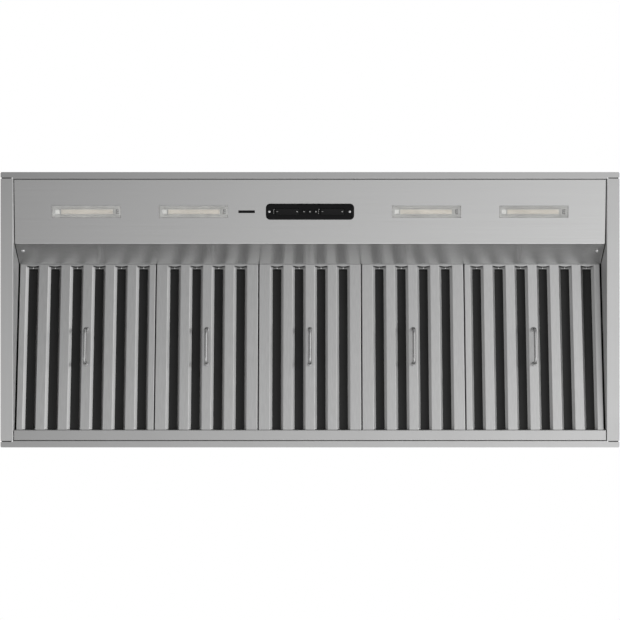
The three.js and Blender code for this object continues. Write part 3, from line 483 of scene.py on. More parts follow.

# A plate is lapped behind each corner seam of the rim; its steel is painted nearly black, as painted shade in
# the seam.
lap_x, lap_y = LAP_HALF
lap_core, lap_back = lap_x - lap_y - LAP_ROUND, CASING_SHEET + LAP_SHEET
lap = stacked([
    (lap_core, 0, 0, CASING_SHEET), (lap_x, lap_y, LAP_ROUND, CASING_SHEET),
    (lap_x, lap_y, LAP_ROUND, lap_back - LAP_EASE),
    (lap_x - LAP_EASE, lap_y - LAP_EASE, LAP_ROUND, lap_back), (lap_core, 0, 0, lap_back),
])
lap_places = [(x * (wall_x + half_width) / 2, y * wall_y, 0) for x in (-1, 1) for y in (-1, 1)]
lap_shade_steel = steel("steel_lap_painted_shade", ALONG_X, 0.1, 0.5)
solid_piece("rim_corner_laps", [lap + place for place in lap_places], lap_shade_steel)

# ---------------------------------------------------------------- light panel
# One folded piece of 1 mm stainless sheet: a gently rising field for the lamps and the control, then a 45
# degree riser up to the filters. It is hemmed at the front and screwed to two brackets through the riser.
PANEL_SHEET = 1.0
PANEL_BEND = 1.6
PANEL_DROP = 2.0
PANEL_RUN = 122.1
PANEL_RISE = 7.7
PANEL_STATIONS = np.linspace(-520, 520, 27)
RISER_RUN = 38.1
RISER_FLANGE = 18.0
FRONT_HEM = 25.0
DEVICE_SETBACK = 61.6
LAMP_NEAR = 222.2
LAMP_FAR = 427.0
LENS_LENGTH = 131.0
LENS_WIDTH = 22.2
WINDOW_GAP = 0.4
CONTROL_HALF = (70.6, 10.6)
SLOT_HALF = (15.7, 2.55)
SLOT_X = -120.95
panel_low, panel_high = corners_mm("light_panel")
panel_front, panel_end = panel_low[1], panel_high[0]
riser_foot = np.array([panel_front + PANEL_RUN, PANEL_DROP + PANEL_RISE])
riser_top = riser_foot + RISER_RUN
panel_angle = np.arctan2(PANEL_RISE, PANEL_RUN)
device_y = panel_front + DEVICE_SETBACK
device_z = PANEL_DROP + DEVICE_SETBACK * np.tan(panel_angle)
lamp_places = (-LAMP_FAR, -LAMP_NEAR, LAMP_NEAR, LAMP_FAR)


def tilted(points, x, y, z, angle):
    """Points turned about the x axis by an angle, y towards z, and then moved."""
    cosine, sine = np.cos(angle), np.sin(angle)
    turned_y = y + points[..., 1] * cosine - points[..., 2] * sine
    return grid(points[..., 0] + x, turned_y, z + points[..., 1] * sine + points[..., 2] * cosine)


def on_panel(points, x=0.0):
    """Points given from the visible face of the light
    panel at its row of devices, z going in through it."""
    return tilted(points, x, device_y, device_z, panel_angle)


def clear_of(openings, middle_x, middle_y):
    """Which cells have their middle outside every opening (x, half length, half width)."""
    inside = [(np.abs(middle_x - x) < half_x) & (np.abs(middle_y) < half_y) for x, half_x, half_y in openings]
    return ~np.any(inside, axis=0)


def light_panel():
    """The folded section carried across the hood, with the cells of each window left out."""
    corners = [(panel_front, PANEL_DROP + FRONT_HEM), (panel_front, PANEL_DROP), riser_foot, riser_top,
               (riser_top[0], riser_top[1] + RISER_FLANGE)]
    section, bend = fold(corners, PANEL_BEND, 5)
    window = LENS_WIDTH / 2 + WINDOW_GAP
    rows = np.array([-window, -CONTROL_HALF[1], -SLOT_HALF[1], SLOT_HALF[1], CONTROL_HALF[1], window])
    device_row = np.argmax(section[:, 0] > device_y)
    section, bend = with_points(section, bend, device_row, on_panel(grid(0, rows, 0))[:, 1:])
    windows = [(x, LENS_LENGTH / 2 + WINDOW_GAP, window) for x in lamp_places]
    windows += [(0, *CONTROL_HALF), (SLOT_X, *SLOT_HALF)]
    edges = [x + end * half_x for x, half_x, half_y in windows for end in (-1, 1)]
    stations = np.unique(np.concatenate([edges, [-panel_end, panel_end], PANEL_STATIONS]))
    middle_x = (stations[:-1] + stations[1:])[None, :] / 2
    level = ((section[:-1, 0] + section[1:, 0]) / 2 - device_y)[:, None] / np.cos(panel_angle)
    return carried(section, stations, "x"), clear_of(windows, middle_x, level), bend[:, None]


panel_steel = steel("steel_lamp_panel", ALONG_X, 0.645, 0.17, spread=1.0)
piece("lamp_panel", [light_panel()], panel_steel, ["light_panel"], sheet=PANEL_SHEET)

# ---------------------------------------------------------------- riser screws and brackets
# Two angle brackets of galvanised sheet stand behind the ends of the riser, and a pan
# head screw of polished steel with a cross recess goes through the sheet into each.
SCREW_INSET = 12.0
SCREW_ALONG = 19.2
SCREW_HEAD = 3.8
SCREW_HEIGHT = 1.9
SCREW_SHANK = 2.0
SCREW_LENGTH = 9.0
DOME_POWER = 2.6
CROSS_WIDTH = 0.13
CROSS_REACH = 0.62
CROSS_DEPTH = 0.5
RISER_TURN = np.pi / 4


def turned(profile, sides=40, turn=0.0):
    """A profile of (radius, level) turned about z."""
    radius, level = np.array(profile, float).T[:, :, None]
    angle = np.linspace(0, 2 * np.pi, sides + 1)[None, :] + turn
    return grid(radius * np.cos(angle), radius * np.sin(angle), level)


def screw(radius, height, shank, length, rings=12, sides=40):
    """A pan head with its shank, turned about z, seated at z = 0 with its head down. The head is a
    flat dome, and a cross is sunk in where either of two narrow bands passes near the middle."""
    spread = np.linspace(0, 1, rings)
    head = turned(np.column_stack([radius * spread, -height * np.sqrt(1 - spread**DOME_POWER)]), sides)
    arms = np.exp(-((head[..., :2] / (CROSS_WIDTH * radius)) ** 4)).max(-1)
    head[..., 2] += arms * (spread < CROSS_REACH)[:, None] * CROSS_DEPTH * height
    stem = [(radius, 0), (shank, 0.01), (shank, length - 1), (shank * 0.6, length), (0, length)]
    return np.concatenate([head, turned(stem, sides)])


def speckled(name, tone, rough, size, contrast):
    """Galvanised sheet: flat crystals of slightly different grey, with a dull bloom over them."""
    material, nodes, surface, place = blank_finish(name, "zinc_sheet", metallic=0.9)
    crystal = nodes.add("ShaderNodeTexVoronoi", {"Vector": place, "Scale": size})
    shade = nodes.add("ShaderNodeSeparateColor", {0: crystal.outputs["Color"]}).outputs[0]
    marks = use(nodes, handling_marks, Place=place, Size=22.0)["Mask"]
    level = nodes.span(shade, 0.0, 1.0, tone - contrast, tone + contrast)
    level = nodes.math("SUBTRACT", level, nodes.times(marks, 0.06))
    colour = nodes.add("ShaderNodeCombineColor", {0: level, 1: level, 2: nodes.times(level, 1.02)})
    nodes.link(colour.outputs[0], surface["Base Color"])
    dull = nodes.plus(nodes.span(shade, 0, 1, rough - 0.06, rough + 0.06), nodes.times(marks, 0.1))
    nodes.link(dull, surface["Roughness"])
    return material


def polished(name, tone, rough):
    """Bright turned or drawn steel, with only faint handling marks."""
    even = {"metallic": 1.0, "base_color": grey(tone)}
    material, nodes, surface, place = blank_finish(name, "polished_steel", **even)
    marks = use(nodes, handling_marks, Place=place, Size=60.0)["Mask"]
    nodes.link(nodes.span(marks, 0, 1, rough, rough + 0.08), surface["Roughness"])
    return material


galvanised = speckled("galvanised_sheet", 0.5, 0.42, 140.0, 0.07)
bright_steel = polished("polished_steel", 0.78, 0.14)


def whole_faces(build):
    bmesh.ops.dissolve_limit(build, angle_limit=np.radians(2), verts=build.verts, edges=build.edges)


def softened(name, node, width=0.5, body="casing"):
    """A copy of a CAD node in galvanised sheet, whose flat faces
    are made whole and whose outer edges get a small round."""
    mesh = bpy.data.meshes.new(name)
    rework(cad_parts[node].data, mesh, MERGE, whole_faces)
    thing = bpy.data.objects.new(name, mesh)
    scene.collection.objects.link(thing)
    mesh.shade_smooth()
    mesh.set_sharp_from_angle(angle=np.radians(CREASE))
    edge = thing.modifiers.new("edge", "BEVEL")
    edge.width = width * MM
    edge.segments = 2
    edge.angle_limit = np.radians(50)
    edge.harden_normals = True
    dress(thing, galvanised, body, [node])


head_y, head_z = riser_foot + SCREW_ALONG * np.array([np.cos(RISER_TURN), np.sin(RISER_TURN)])
riser_screw = screw(SCREW_HEAD, SCREW_HEIGHT, SCREW_SHANK, SCREW_LENGTH) - (0, 0, SEAM)
for word, side in (("left", -1), ("right", 1)):
    softened(f"{word}_riser_bracket", f"{word}_panel_bracket", 0.3)
    seated = tilted(riser_screw, side * (panel_end - SCREW_INSET), head_y, head_z, RISER_TURN)
    solid_piece(f"{word}_riser_screw", [seated], bright_steel, [f"{word}_panel_screw"])

# ---------------------------------------------------------------- lamps
# Four LED lamps behind clear plastic covers. Each has a moulded grey tray with sloping sides, a white board
# under a long soft bead of beige silicone, a white wire block at one end and a dark terminal at the other.
COVER_BACK = 2.7
TRAY_TOP = 15.0
TRAY_FLOOR = 11.0
BOARD_THICKNESS = 1.6
BEAD_HALF = (49.0, 4.1)
BEAD_HEIGHT = 1.7
BEAD_LUMPS = 6
LUMP_SHARE = 0.18
WIRE_BLOCK_X = -56.5
TERMINAL_X = 59.0

# From the middle of the tray's floor down its slopes to
# the cover's seat, round the foot and up the outside.
lamp_tray = stacked([
    (46, 0, 0, TRAY_FLOOR), (52.1, 5.9, 3, TRAY_FLOOR), (53.5, 6.6, 3.4, 10.4), (63.2, 9.5, 3, 3.6),
    (64.3, 9.9, 2.5, 3.0), (65.9, 11.5, 1.5, 3.0), (65.9, 11.5, 1.5, 1.3), (69.9, 15.5, 2, 1.3),
    (69.9, 15.5, 2, 14.4), (69.3, 14.9, 2, TRAY_TOP), (54, 0, 0, TRAY_TOP),
])
# A thin slab with eased edges and a barely crowned face.
lamp_cover = stacked([
    (54, 0, 0, 0.3), (64.6, 10.2, 1, 0.32), (65.2, 10.8, 1.4, 0.55), (65.5, 11.1, 1.5, 0.9),
    (65.5, 11.1, 1.5, COVER_BACK - 0.3), (65.2, 10.8, 1.4, COVER_BACK), (54, 0, 0, COVER_BACK),
])
wire_block = stacked([
    (0, 0, 0, 5.0), (3.6, 3.2, 0.6, 5.0), (4.6, 4.2, 1, 5.8), (4.6, 4.2, 1, 9.6), (0, 0, 0, 9.6),
], WIRE_BLOCK_X)
terminal = [stacked([
    (0, 0, 0, 5.0), (2.9, 0.8, 0.3, 5.0), (3.2, 1.1, 0.4, 5.3), (3.2, 1.1, 0.4, 7.6), (0, 0, 0, 7.6),
], TERMINAL_X, y) for y in (-3.6, 0, 3.6)]
terminal.append(stacked([
    (0, 0, 0, 5.4), (0.9, 4.3, 0.3, 5.4), (1.2, 4.6, 0.4, 5.8), (1.2, 4.6, 0.4, 7.8), (0, 0, 0, 7.8),
], TERMINAL_X - 2.4))


def lamp_bead():
    """Height over the board: full in the middle, falling to
    nothing at the sides, with a soft lump over each LED."""
    x = np.linspace(-1, 1, 97)[:, None]
    y = np.linspace(-1, 1, 15)[None, :]
    lump = 1 - LUMP_SHARE + LUMP_SHARE * np.cos(np.pi * BEAD_LUMPS * (x + 1))
    height = BEAD_HEIGHT * lump * np.clip((1 - x**14) * (1 - y**4), 0, 1) ** 0.6
    board = TRAY_FLOOR - SEAM - BOARD_THICKNESS - 0.02
    face = grid(x * BEAD_HALF[0], y * BEAD_HALF[1], board - height)
    return [face, face[:, ::-1] * (1, 1, 0) + (0, 0, board)]


def plain_plastic(name, colour, rough, slot="black_plastic", grain_size=2600.0, grain=0.08, **more):
    """Moulded plastic: one colour with a faint mottle, and a fine spark-eroded grain."""
    material, nodes, surface, place = blank_finish(name, slot, **more)
    mottle = nodes.noise(place, 45.0, 3.0)
    shades = {6: (*[channel * 0.86 for channel in colour], 1.0), 7: (*colour, 1.0)}
    mixed = nodes.add("ShaderNodeMix", {0: nodes.span(mottle, 0.35, 0.65, 0, 1), **shades}, data_type="RGBA")
    nodes.link(mixed.outputs[2], surface["Base Color"])
    nodes.link(nodes.span(mottle, 0.3, 0.7, rough - 0.04, rough + 0.04), surface["Roughness"])
    nodes.link(nodes.relief(nodes.noise(place, grain_size, 1.0), grain), surface["Normal"])
    return material


clear_cover = plain_plastic("clear_lamp_cover", (0.9, 0.9, 0.88), 0.12, "lamp_cover", alpha=0.18)
grey_tray = plain_plastic("grey_lamp_tray", (0.50, 0.50, 0.49), 0.45, "lamp_tray")
white_board = plain_plastic("white_lamp_board", (0.74, 0.72, 0.67), 0.4, "lamp_board")
bead_silicone = plain_plastic("beige_silicone_bead", (0.84, 0.76, 0.64), 0.35, "lamp_board", 900.0, 0.3)
white_block = plain_plastic("white_wire_block", (0.98, 0.98, 0.95), 0.3, "lamp_cover")
dark_terminal = plain_plastic("dark_terminal", (0.02, 0.02, 0.02), 0.4)
for number, x in enumerate(lamp_places, 1):
    for word, skins, finish, stands_for in (
        ("tray", [lamp_tray], grey_tray, [f"led_tray_{number}"]),
        ("cover", [lamp_cover], clear_cover, [f"led_lens_{number}"]),
        ("bead", lamp_bead(), bead_silicone, ()),
        ("wire_block", [wire_block], white_block, ()),
        ("terminal", terminal, dark_terminal, ()),
    ):
        solid_piece(f"lamp_{word}_{number}", [on_panel(skin, x) for skin in skins], finish, stands_for)
    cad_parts[f"led_board_{number}"].data.materials[0] = white_board

# ---------------------------------------------------------------- control
# A moulded black bezel screwed to the panel, with two long rocker keys and three round keys that stand a
# little proud. The keys carry pale generic marks, and four ribs on the front edge guide the fingertip.
BEZEL_HALF = (84.25, 15.25)
BEZEL_CORNER = 8.0
BEZEL_BACK = -0.3
BEZEL_FACE = -3.5
BEZEL_EDGE = 3.2
BEZEL_SCREW_X = (-77.5, 75.8)
RIB_X = (-17.1, -5.7, 5.7, 17.1)
ROCKER_X = (-43.4, 42.6)
ROCKER_HALF = (22.0, 6.0)
ROCKER_FACE = -4.7
ROCKER_BACK = -0.3
ROCKER_MARK_X = 18.9
ROCKER_PIN_LEVEL = 1.8
KEY_END_GAP = 0.6
KEY_SIDE_GAP = 0.4
BUTTON_X = (-11.4, 0.0, 11.4)
BUTTON_RADIUS = 4.0
BUTTON_FACE = -4.5
BUTTON_SURROUND = 5.6
MARK_HEIGHT = 0.12
black_plastic = plain_plastic("black_plastic", (0.006, 0.006, 0.0065), 0.36, "black_plastic", 1800.0, 0.25,
                              specular_ior_level=0.12)
key_plastic = plain_plastic("black_key_plastic", (0.008, 0.008, 0.0085), 0.3, "black_plastic", 1800.0, 0.2,
                            specular_ior_level=0.16)
mark_print = plain_plastic("pale_key_print", (0.42, 0.42, 0.41), 0.5, "lamp_tray")


def bezel():
    """The rim's rounded skin down to a flat face, the face with its
    openings for the keys, and the wall of the body behind it."""
    half_x, half_y = BEZEL_HALF
    face_x, face_y = half_x - BEZEL_EDGE, half_y - BEZEL_EDGE
    rim = stacked([
        (half_x, half_y, BEZEL_CORNER, BEZEL_BACK), (half_x, half_y, BEZEL_CORNER, -1.6),
        (half_x - 0.35, half_y - 0.35, 7.65, -2.5), (half_x - 1.1, half_y - 1.1, 6.9, -3.1),
        (half_x - 2, half_y - 2, 6, -3.4), (face_x, face_y, 0.01, BEZEL_FACE),
    ])
    openings = [(x, ROCKER_HALF[0] + KEY_END_GAP, ROCKER_HALF[1] + KEY_SIDE_GAP) for x in ROCKER_X]
    openings += [(x, BUTTON_SURROUND, BUTTON_SURROUND) for x in BUTTON_X]
    xs = np.unique([-face_x, face_x, *[x + end * reach for x, reach, side in openings for end in (-1, 1)]])
    ys = np.unique([-face_y, face_y, *[end * side for x, reach, side in openings for end in (-1, 1)]])
    keep = clear_of(openings, (xs[:-1] + xs[1:])[None, :] / 2, (ys[:-1] + ys[1:])[:, None] / 2)
    face = on_panel(grid(xs[None, :], ys[:, None], BEZEL_FACE))
    u, v = hole_ring(BUTTON_SURROUND, BUTTON_RADIUS + KEY_SIDE_GAP)
    holes = [on_panel(grid(x + u, v, BEZEL_FACE)) for x in BUTTON_X]
    body = stacked([(70, 10, 1, 15.0), (70, 10, 1, -1.5)])
    return [on_panel(rim), (face, keep, 0.0), *holes, on_panel(body)]


piece("control_bezel", bezel(), black_plastic, ["control_housing"], sheet=1.5)
board_finish = plain_plastic("green_circuit_board", (0.03, 0.12, 0.06), 0.35)
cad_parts["control_board"].data.materials[0] = board_finish
for number, x in enumerate(BEZEL_SCREW_X, 1):
    points = screw(2.3, 0.7, 1.2, 6.0) + (0, 0, BEZEL_FACE)
    solid_piece(f"bezel_screw_{number}", [on_panel(points, x)], bright_steel)
rib = [(0, 0, 0, -3.9), (2.6, 0.5, 0.3, -3.9), (3.0, 0.9, 0.5, -3.5), (3.0, 0.9, 0.5, -1.0), (0, 0, 0, -1.0)]
ribs = [on_panel(stacked(rib, x, 0.9 - BEZEL_HALF[1])) for x in RIB_X]
solid_piece("bezel_finger_ribs", ribs, black_plastic)


def rocker_key(x):
    """A long key: eased edges round a shallow finger dish, a stem behind it, and a cross pin to turn on."""
    half_x, half_y = ROCKER_HALF
    key = stacked([
        (16, 0, 0, ROCKER_FACE + 0.25), (half_x - 3, half_y - 2.6, 1, ROCKER_FACE + 0.2),
        (half_x - 1.2, half_y - 1.2, 1, ROCKER_FACE), (half_x - 0.6, half_y - 0.6, 1.2, ROCKER_FACE + 0.06),
        (half_x - 0.15, half_y - 0.15, 1.3, ROCKER_FACE + 0.35), (half_x, half_y, 1.4, ROCKER_FACE + 0.8),
        (half_x, half_y, 1.4, ROCKER_BACK), (16, 0, 0, ROCKER_BACK),
    ], x)
    stem = stacked([(0, 0, 0, -1.3), (4, 5, 0.5, -1.3), (4, 5, 0.5, 9.3), (0, 0, 0, 9.3)], x)
    pin = turned([(0, -9.2), (1.3, -9.2), (1.5, -9.0), (1.5, 9.0), (1.3, 9.2), (0, 9.2)], 16)
    pin = grid(x + pin[..., 0], pin[..., 2], ROCKER_PIN_LEVEL + pin[..., 1])
    return [on_panel(skin) for skin in (key, stem, pin)]


def bar_mark(x, y, half_x, half_y, level):
    """A flat printed bar, as a thin skin with eased edges."""
    face = level - MARK_HEIGHT
    return on_panel(stacked([(0, 0, 0, face), (half_x - 0.05, half_y - 0.05, 0.05, face),
                             (half_x, half_y, 0.1, level), (0, 0, 0, level + 0.05)], x, y))


for name, x in zip(("light", "fan"), ROCKER_X):
    level = ROCKER_FACE + 0.02
    minus, plus = x - ROCKER_MARK_X, x + ROCKER_MARK_X
    marks = [bar_mark(minus, 0, 1.5, 0.4, level), bar_mark(plus, 0, 1.5, 0.4, level),
             bar_mark(plus, 0, 0.4, 1.5, ROCKER_FACE)]
    solid_piece(f"{name}_key", rocker_key(x), key_plastic, [f"{name}_rocker"], f"{name}_rocker")
    solid_piece(f"{name}_key_marks", marks, mark_print, (), f"{name}_rocker")

cap = turned([(0, -0.1), (2.6, -0.1), (3.4, 0.05), (3.85, 0.3), (4.0, 0.8), (4.0, 3.3), (5.0, 3.3),
              (5.0, 4.3), (1.8, 4.3), (1.8, 12.3), (0, 12.3)], 32) + (0, 0, BUTTON_FACE)
mark_back = BUTTON_FACE - 0.1
mark_profile = [(0, mark_back - MARK_HEIGHT), (1.45, mark_back - MARK_HEIGHT), (1.5, mark_back),
                (0, mark_back + 0.05)]
for number, (x, sides, turn) in enumerate(zip(BUTTON_X, (3, 4, 4), (np.pi / 2, 0, np.pi / 4)), 1):
    body = f"button_{number}"
    mark = turned(mark_profile, sides, turn)
    solid_piece(f"round_key_{number}", [on_panel(cap, x)], key_plastic, [body], body)
    solid_piece(f"round_key_mark_{number}", [on_panel(mark, x)], mark_print, (), body)

frame_marks = []
for middle in (-69.2, 16.3):
    frame_marks += [bar_mark(middle, y, 0.35, 0.9, BEZEL_FACE) for y in (-3.0, 0, 3.0)]
    frame_marks.append(bar_mark(middle + 1.2, -4.6, 1.0, 0.3, BEZEL_FACE))
solid_piece("bezel_marks", frame_marks, mark_print)

# ---------------------------------------------------------------- sensor window
# A short dark window beside the control, pushed through the sheet from behind and held by
# its flange. It is seen as a slot with round ends that stands a little proud of the sheet.
sensor_skin = stacked([
    (13.2, 0, 0, -0.5), (15.0, 1.85, 1.8, -0.42), (15.4, 2.25, 2.2, -0.1), (15.4, 2.25, 2.2, 1.3),
    (17.8, 4.65, 2.4, 1.3), (17.8, 4.65, 2.4, 2.6), (15.4, 2.25, 2.2, 2.6), (15.4, 2.25, 2.2, 3.0),
    (13.2, 0, 0, 3.0),
])
solid_piece("sensor_slot_window", [on_panel(sensor_skin, SLOT_X)], black_plastic, ["sensor_window"])

# ---------------------------------------------------------------- rear ledge
# A folded strip of 1 mm stainless sheet along the rear
# wall. Its front lip carries the tails of the five filters.
LEDGE_SHEET = 1.0
LEDGE_DROP = 1.5
LEDGE_UPSTAND = 30.0
LIP_TOP = 10.9
ledge_low, ledge_high = corners_mm("rear_filter_ledge")
ledge_corners = [(ledge_low[1], LIP_TOP), (ledge_low[1], LEDGE_DROP), (ledge_high[1], LEDGE_DROP),
                 (ledge_high[1], LEDGE_DROP + LEDGE_UPSTAND)]
ledge_section, ledge_bend = fold(ledge_corners, BEND_RADIUS)
ledge_strip = carried(ledge_section, np.linspace(-panel_end, panel_end, 25), "x")
piece("filter_ledge", [(ledge_strip, ..., ledge_bend[:, None])], steel_along_x, ["rear_filter_ledge"],
      sheet=LEDGE_SHEET)

# ---------------------------------------------------------------- filters
# Five baffle filters of 0.8 mm stainless sheet, each folded up from one blank:
# a row of trough-shaped bars with open slots between them. Across every slot
# the end strip is cut in a shallow curve, over a riveted ledge set back behind.
FILTER_SHEET = 0.8
FILTER_DEPTH = 14.9
FILTER_TAIL = 8.0
FRONT_GAP = 1.2
FRONT_LIP = 0.8
SLOT_PITCH = 42.85
BAR_FLAT = 17.0
BAR_SLOPE = 4.7
BAR_HEIGHT = 5.0
BAR_BEND = 1.1
SIDE_INSET = 0.45
SIDE_BAR_LEAST = 14.0
FRONT_STRIP = 0.7
STRIP_CURVE = 2.6
STRIP_HALF = 14.5
SINK_RUN = 1.3
MIDDLE_RUNS = 14
MIDDLE_FROM = 16
MIDDLE_END = 6
REAR_SINK = 2
LEDGE_LEVEL = 5.0
LEDGE_GAP = 1.2
LEDGE_GAP_SPREAD = 0.9
LEDGE_REACH = 7.6
RIVET_RADIUS = 1.6
RIVET_RISE = 1.3
RIVET_INSET = 2.0
REAR_STRIP = 7.0
bar_steel = steel("steel_filter_bars", ALONG_Y, 0.66, 0.33, 0.05, 0.7, 1.0)
ledge_steel = steel("steel_filter_ledges", ALONG_X, 0.35, 0.38, 0.05, 0.7)
pivot = np.array([ledge_low[1], LIP_TOP + SEAM])
filter_front = riser_top + (FRONT_GAP, -0.5)
filter_tilt = np.arctan2(filter_front[1] - pivot[1], pivot[0] - filter_front[0])
filter_reach = np.hypot(filter_front[1] - pivot[1], pivot[0] - filter_front[0])
filter_boxes = [corners_mm(f"filter_face_{number}") for number in range(1, 6)]
filter_places = [(low[0] + high[0]) / 2 for low, high in filter_boxes]
filter_widths = [high[0] - low[0] for low, high in filter_boxes]
slot_half = SLOT_PITCH / 2 - BAR_FLAT / 2 - BAR_SLOPE


def on_filter(points, x):
    """Points given from a filter's pivot edge: y to the tail, and z up from its visible face."""
    return tilted(points, x, *pivot, -filter_tilt)


def slot_places(width):
    """The slots' middles; they come in pairs, so that the handle's bar is in the middle."""
    pairs = int((width - 2 * SIDE_BAR_LEAST - 2 * slot_half + SLOT_PITCH) // (2 * SLOT_PITCH))
    return (np.arange(2 * pairs) + 0.5 - pairs) * SLOT_PITCH


def bars_section(width):
    """Across a filter: the side wall and its bar, then by turns the points in a slot and a
    trough-shaped bar. Returns the points, their bend mask, and which of them lie in a slot."""
    slots_x = slot_places(width)
    half, edge = BAR_FLAT / 2, width / 2 - SIDE_INSET
    flat_end = slots_x[0] - SLOT_PITCH / 2 + half
    wall = [(-edge, FILTER_DEPTH), (-edge, 0), (flat_end, 0), (flat_end + BAR_SLOPE, BAR_HEIGHT)]
    trough = [(-half - BAR_SLOPE, BAR_HEIGHT), (-half, 0), (half, 0), (half + BAR_SLOPE, BAR_HEIGHT)]
    (left, left_bend), (bar, bar_bend) = fold(wall, BAR_BEND, 3), fold(trough, BAR_BEND, 3)
    gap = np.linspace(-slot_half, slot_half, 15)[1:-1]
    parts = [(left, left_bend, False)]
    for x in slots_x:
        parts.append((np.stack([x + gap, gap * 0 + BAR_HEIGHT], -1), gap * 0, True))
        parts.append((bar + (x + SLOT_PITCH / 2, 0), bar_bend, False))
    parts[-1] = (left[::-1] * (-1, 1), left_bend[::-1], False)
    points, bends, inside = zip(*[(points, bend, np.full(len(points), slot)) for points, bend, slot in parts])
    return np.concatenate(points), np.concatenate(bends), np.concatenate(inside)


def strip_dip(x, slots_x):
    """How far the front strip reaches across a slot: a parabola, deepest in the middle of each slot."""
    away = np.abs(x[:, None] - slots_x[None, :]).min(1)
    return STRIP_CURVE * np.clip(1 - (away / STRIP_HALF) ** 2, 0, 1)


def filter_bars(width, x):
    """The section carried from the front edge to the tail. Behind the front
    strip the slopes sink in over a few millimetres, and in the slots only
    the end strips are kept. The front edge is folded up into a wall."""
    section, bend, inside = bars_section(width)
    front = FRONT_STRIP + strip_dip(section[:, 0], slot_places(width))
    sink = np.linspace(0, 1, 4)
    rear_strip = filter_reach + FILTER_TAIL - REAR_STRIP
    runs = [front * 0, *[front + SINK_RUN * part for part in sink]]
    runs += [front * 0 + run for run in np.linspace(MIDDLE_FROM, rear_strip - MIDDLE_END, MIDDLE_RUNS)]
    runs += [front * 0 + rear_strip + step for step in (-REAR_SINK, 0, REAR_STRIP)]
    depth = np.concatenate([[0], (1 - np.cos(np.pi * sink)) / 2, np.ones(MIDDLE_RUNS + 1), [0, 0]])
    y = np.stack(runs) - filter_reach
    y[0] -= FRONT_LIP
    is_wall = np.abs(section[:, 0]) > width / 2 - SIDE_INSET - BAR_BEND
    z = np.where(is_wall[None, :], section[None, :, 1], section[None, :, 1] * depth[:, None])
    points = grid(section[None, :, 0], y, z)
    keep = np.ones((len(runs) - 1, len(section) - 1), bool)
    keep[1:-1, inside[:-1] | inside[1:]] = False
    slope = (section[:, 1] > SIDE_INSET) & ~is_wall
    keep[1:len(sink), slope[:-1] | slope[1:]] = False
    edge = points[:1, ~is_wall]
    level = np.array([FILTER_DEPTH, 1.2, 0.5, 0])[:, None]
    round_in = np.array([-0.35, -0.35, -0.25, 0])[:, None]
    end_wall = grid(edge[..., 0], edge[..., 1] + round_in, edge[..., 2] + level)
    return [(on_filter(points, x), keep, bend[None, :]), on_filter(end_wall, x)]


def slot_ledges(width, x):
    """Behind the front strip of each slot a ledge runs across it, with
    its front edge cut to the same curve and its back edge turned up."""
    patches = []
    for slot in slot_places(width):
        across = slot + np.linspace(-1, 1, 41) * (STRIP_HALF + 1)
        start = FRONT_STRIP + strip_dip(across, np.array([slot])) + LEDGE_GAP
        start += LEDGE_GAP_SPREAD * ((across - slot) / STRIP_HALF) ** 2
        part = np.array([*np.linspace(0, 1, 16), 1.08, 1.1])[:, None]
        rise = np.array([0.5, 0.15, *[0.0] * 13, 0.1, 1.2, 4.0])[:, None]
        y = start + (LEDGE_REACH - start) * part - filter_reach
        patches.append(on_filter(grid(across, y, LEDGE_LEVEL + rise), x))
    return patches


turn = np.linspace(0, np.pi / 2, 6)
dome = np.column_stack([RIVET_RADIUS * np.sin(turn), -RIVET_RISE * np.cos(turn)])
rivet = turned([*dome, (0, 0)], 20) + (0, LEDGE_REACH - RIVET_INSET - filter_reach, LEDGE_LEVEL)
for number, (x, width) in enumerate(zip(filter_places, filter_widths), 1):
    body = f"filter_{number}"
    face = [f"filter_face_{number}"]
    rivets = [on_filter(rivet + (slot, 0, 0), x) for slot in slot_places(width)]
    piece(f"filter_bars_{number}", filter_bars(width, x), bar_steel, face, body, FILTER_SHEET)
    piece(f"filter_ledges_{number}", slot_ledges(width, x), ledge_steel, (), body, FILTER_SHEET)
    solid_piece(f"filter_rivets_{number}", rivets, bright_steel, (), body)

# ---------------------------------------------------------------- side strips of painted shade
# A near-black matt strip lies against each side wall, as painted shade: it follows the light
# panel, the riser and the filters, and fills the narrow gap beside them, where the casing is deep in shade.
SHADE_STRIP_BEHIND = (0.4, 7.0)
SHADE_STRIP_ROUND = 0.3
SHADE_STRIP_X = (563.9, 563.9, 563.9, 563.1)
gap_shade_black = plain_plastic("black_gap_painted_shade", (0.004, 0.004, 0.004), 0.9, "black_plastic", 900.0, 0.5,
                     specular_ior_level=0.05)


def side_shade_strip():
    """A rounded oblong carried along the line of the panel's
    face, the riser and the filters' face, square to it."""
    line = np.array([(panel_front + 1.5, PANEL_DROP), riser_foot, riser_top, (pivot[0] - 1, pivot[1])])
    ahead = np.diff(line, axis=0)
    square = np.stack([-ahead[:, 1], ahead[:, 0]], -1) / np.hypot(*ahead.T)[:, None]
    square = np.concatenate([square[:1], square[:-1] + square[1:], square[-1:]])
    square /= np.hypot(*square.T)[:, None]
    low, high = SHADE_STRIP_BEHIND
    rings = []
    for (y, z), (out_y, out_z), x in zip(line, square, SHADE_STRIP_X):
        across = np.array([inner_x, x + SHADE_STRIP_ROUND, x, x, x + SHADE_STRIP_ROUND, inner_x, inner_x])
        behind = np.array([low, low, low + SHADE_STRIP_ROUND, high - SHADE_STRIP_ROUND, high, high, low])
        rings.append(grid(across, y + out_y * behind, z + out_z * behind))
    rings = np.array(rings)
    steps = np.linspace(0, len(line) - 1, 31)
    before = np.minimum(steps.astype(int), len(line) - 2)
    part = (steps - before)[:, None, None]
    skin = rings[before] * (1 - part) + rings[before + 1] * part
    caps = [np.repeat(skin[end, :-1].mean(0)[None, None], skin.shape[1], 1) for end in (0, -1)]
    return np.concatenate([caps[0], skin, caps[1]])


for word, side in (("left", -1), ("right", 1)):
    solid_piece(f"{word}_gap_shade_strip", [side_shade_strip() * (side, 1, 1)], gap_shade_black)
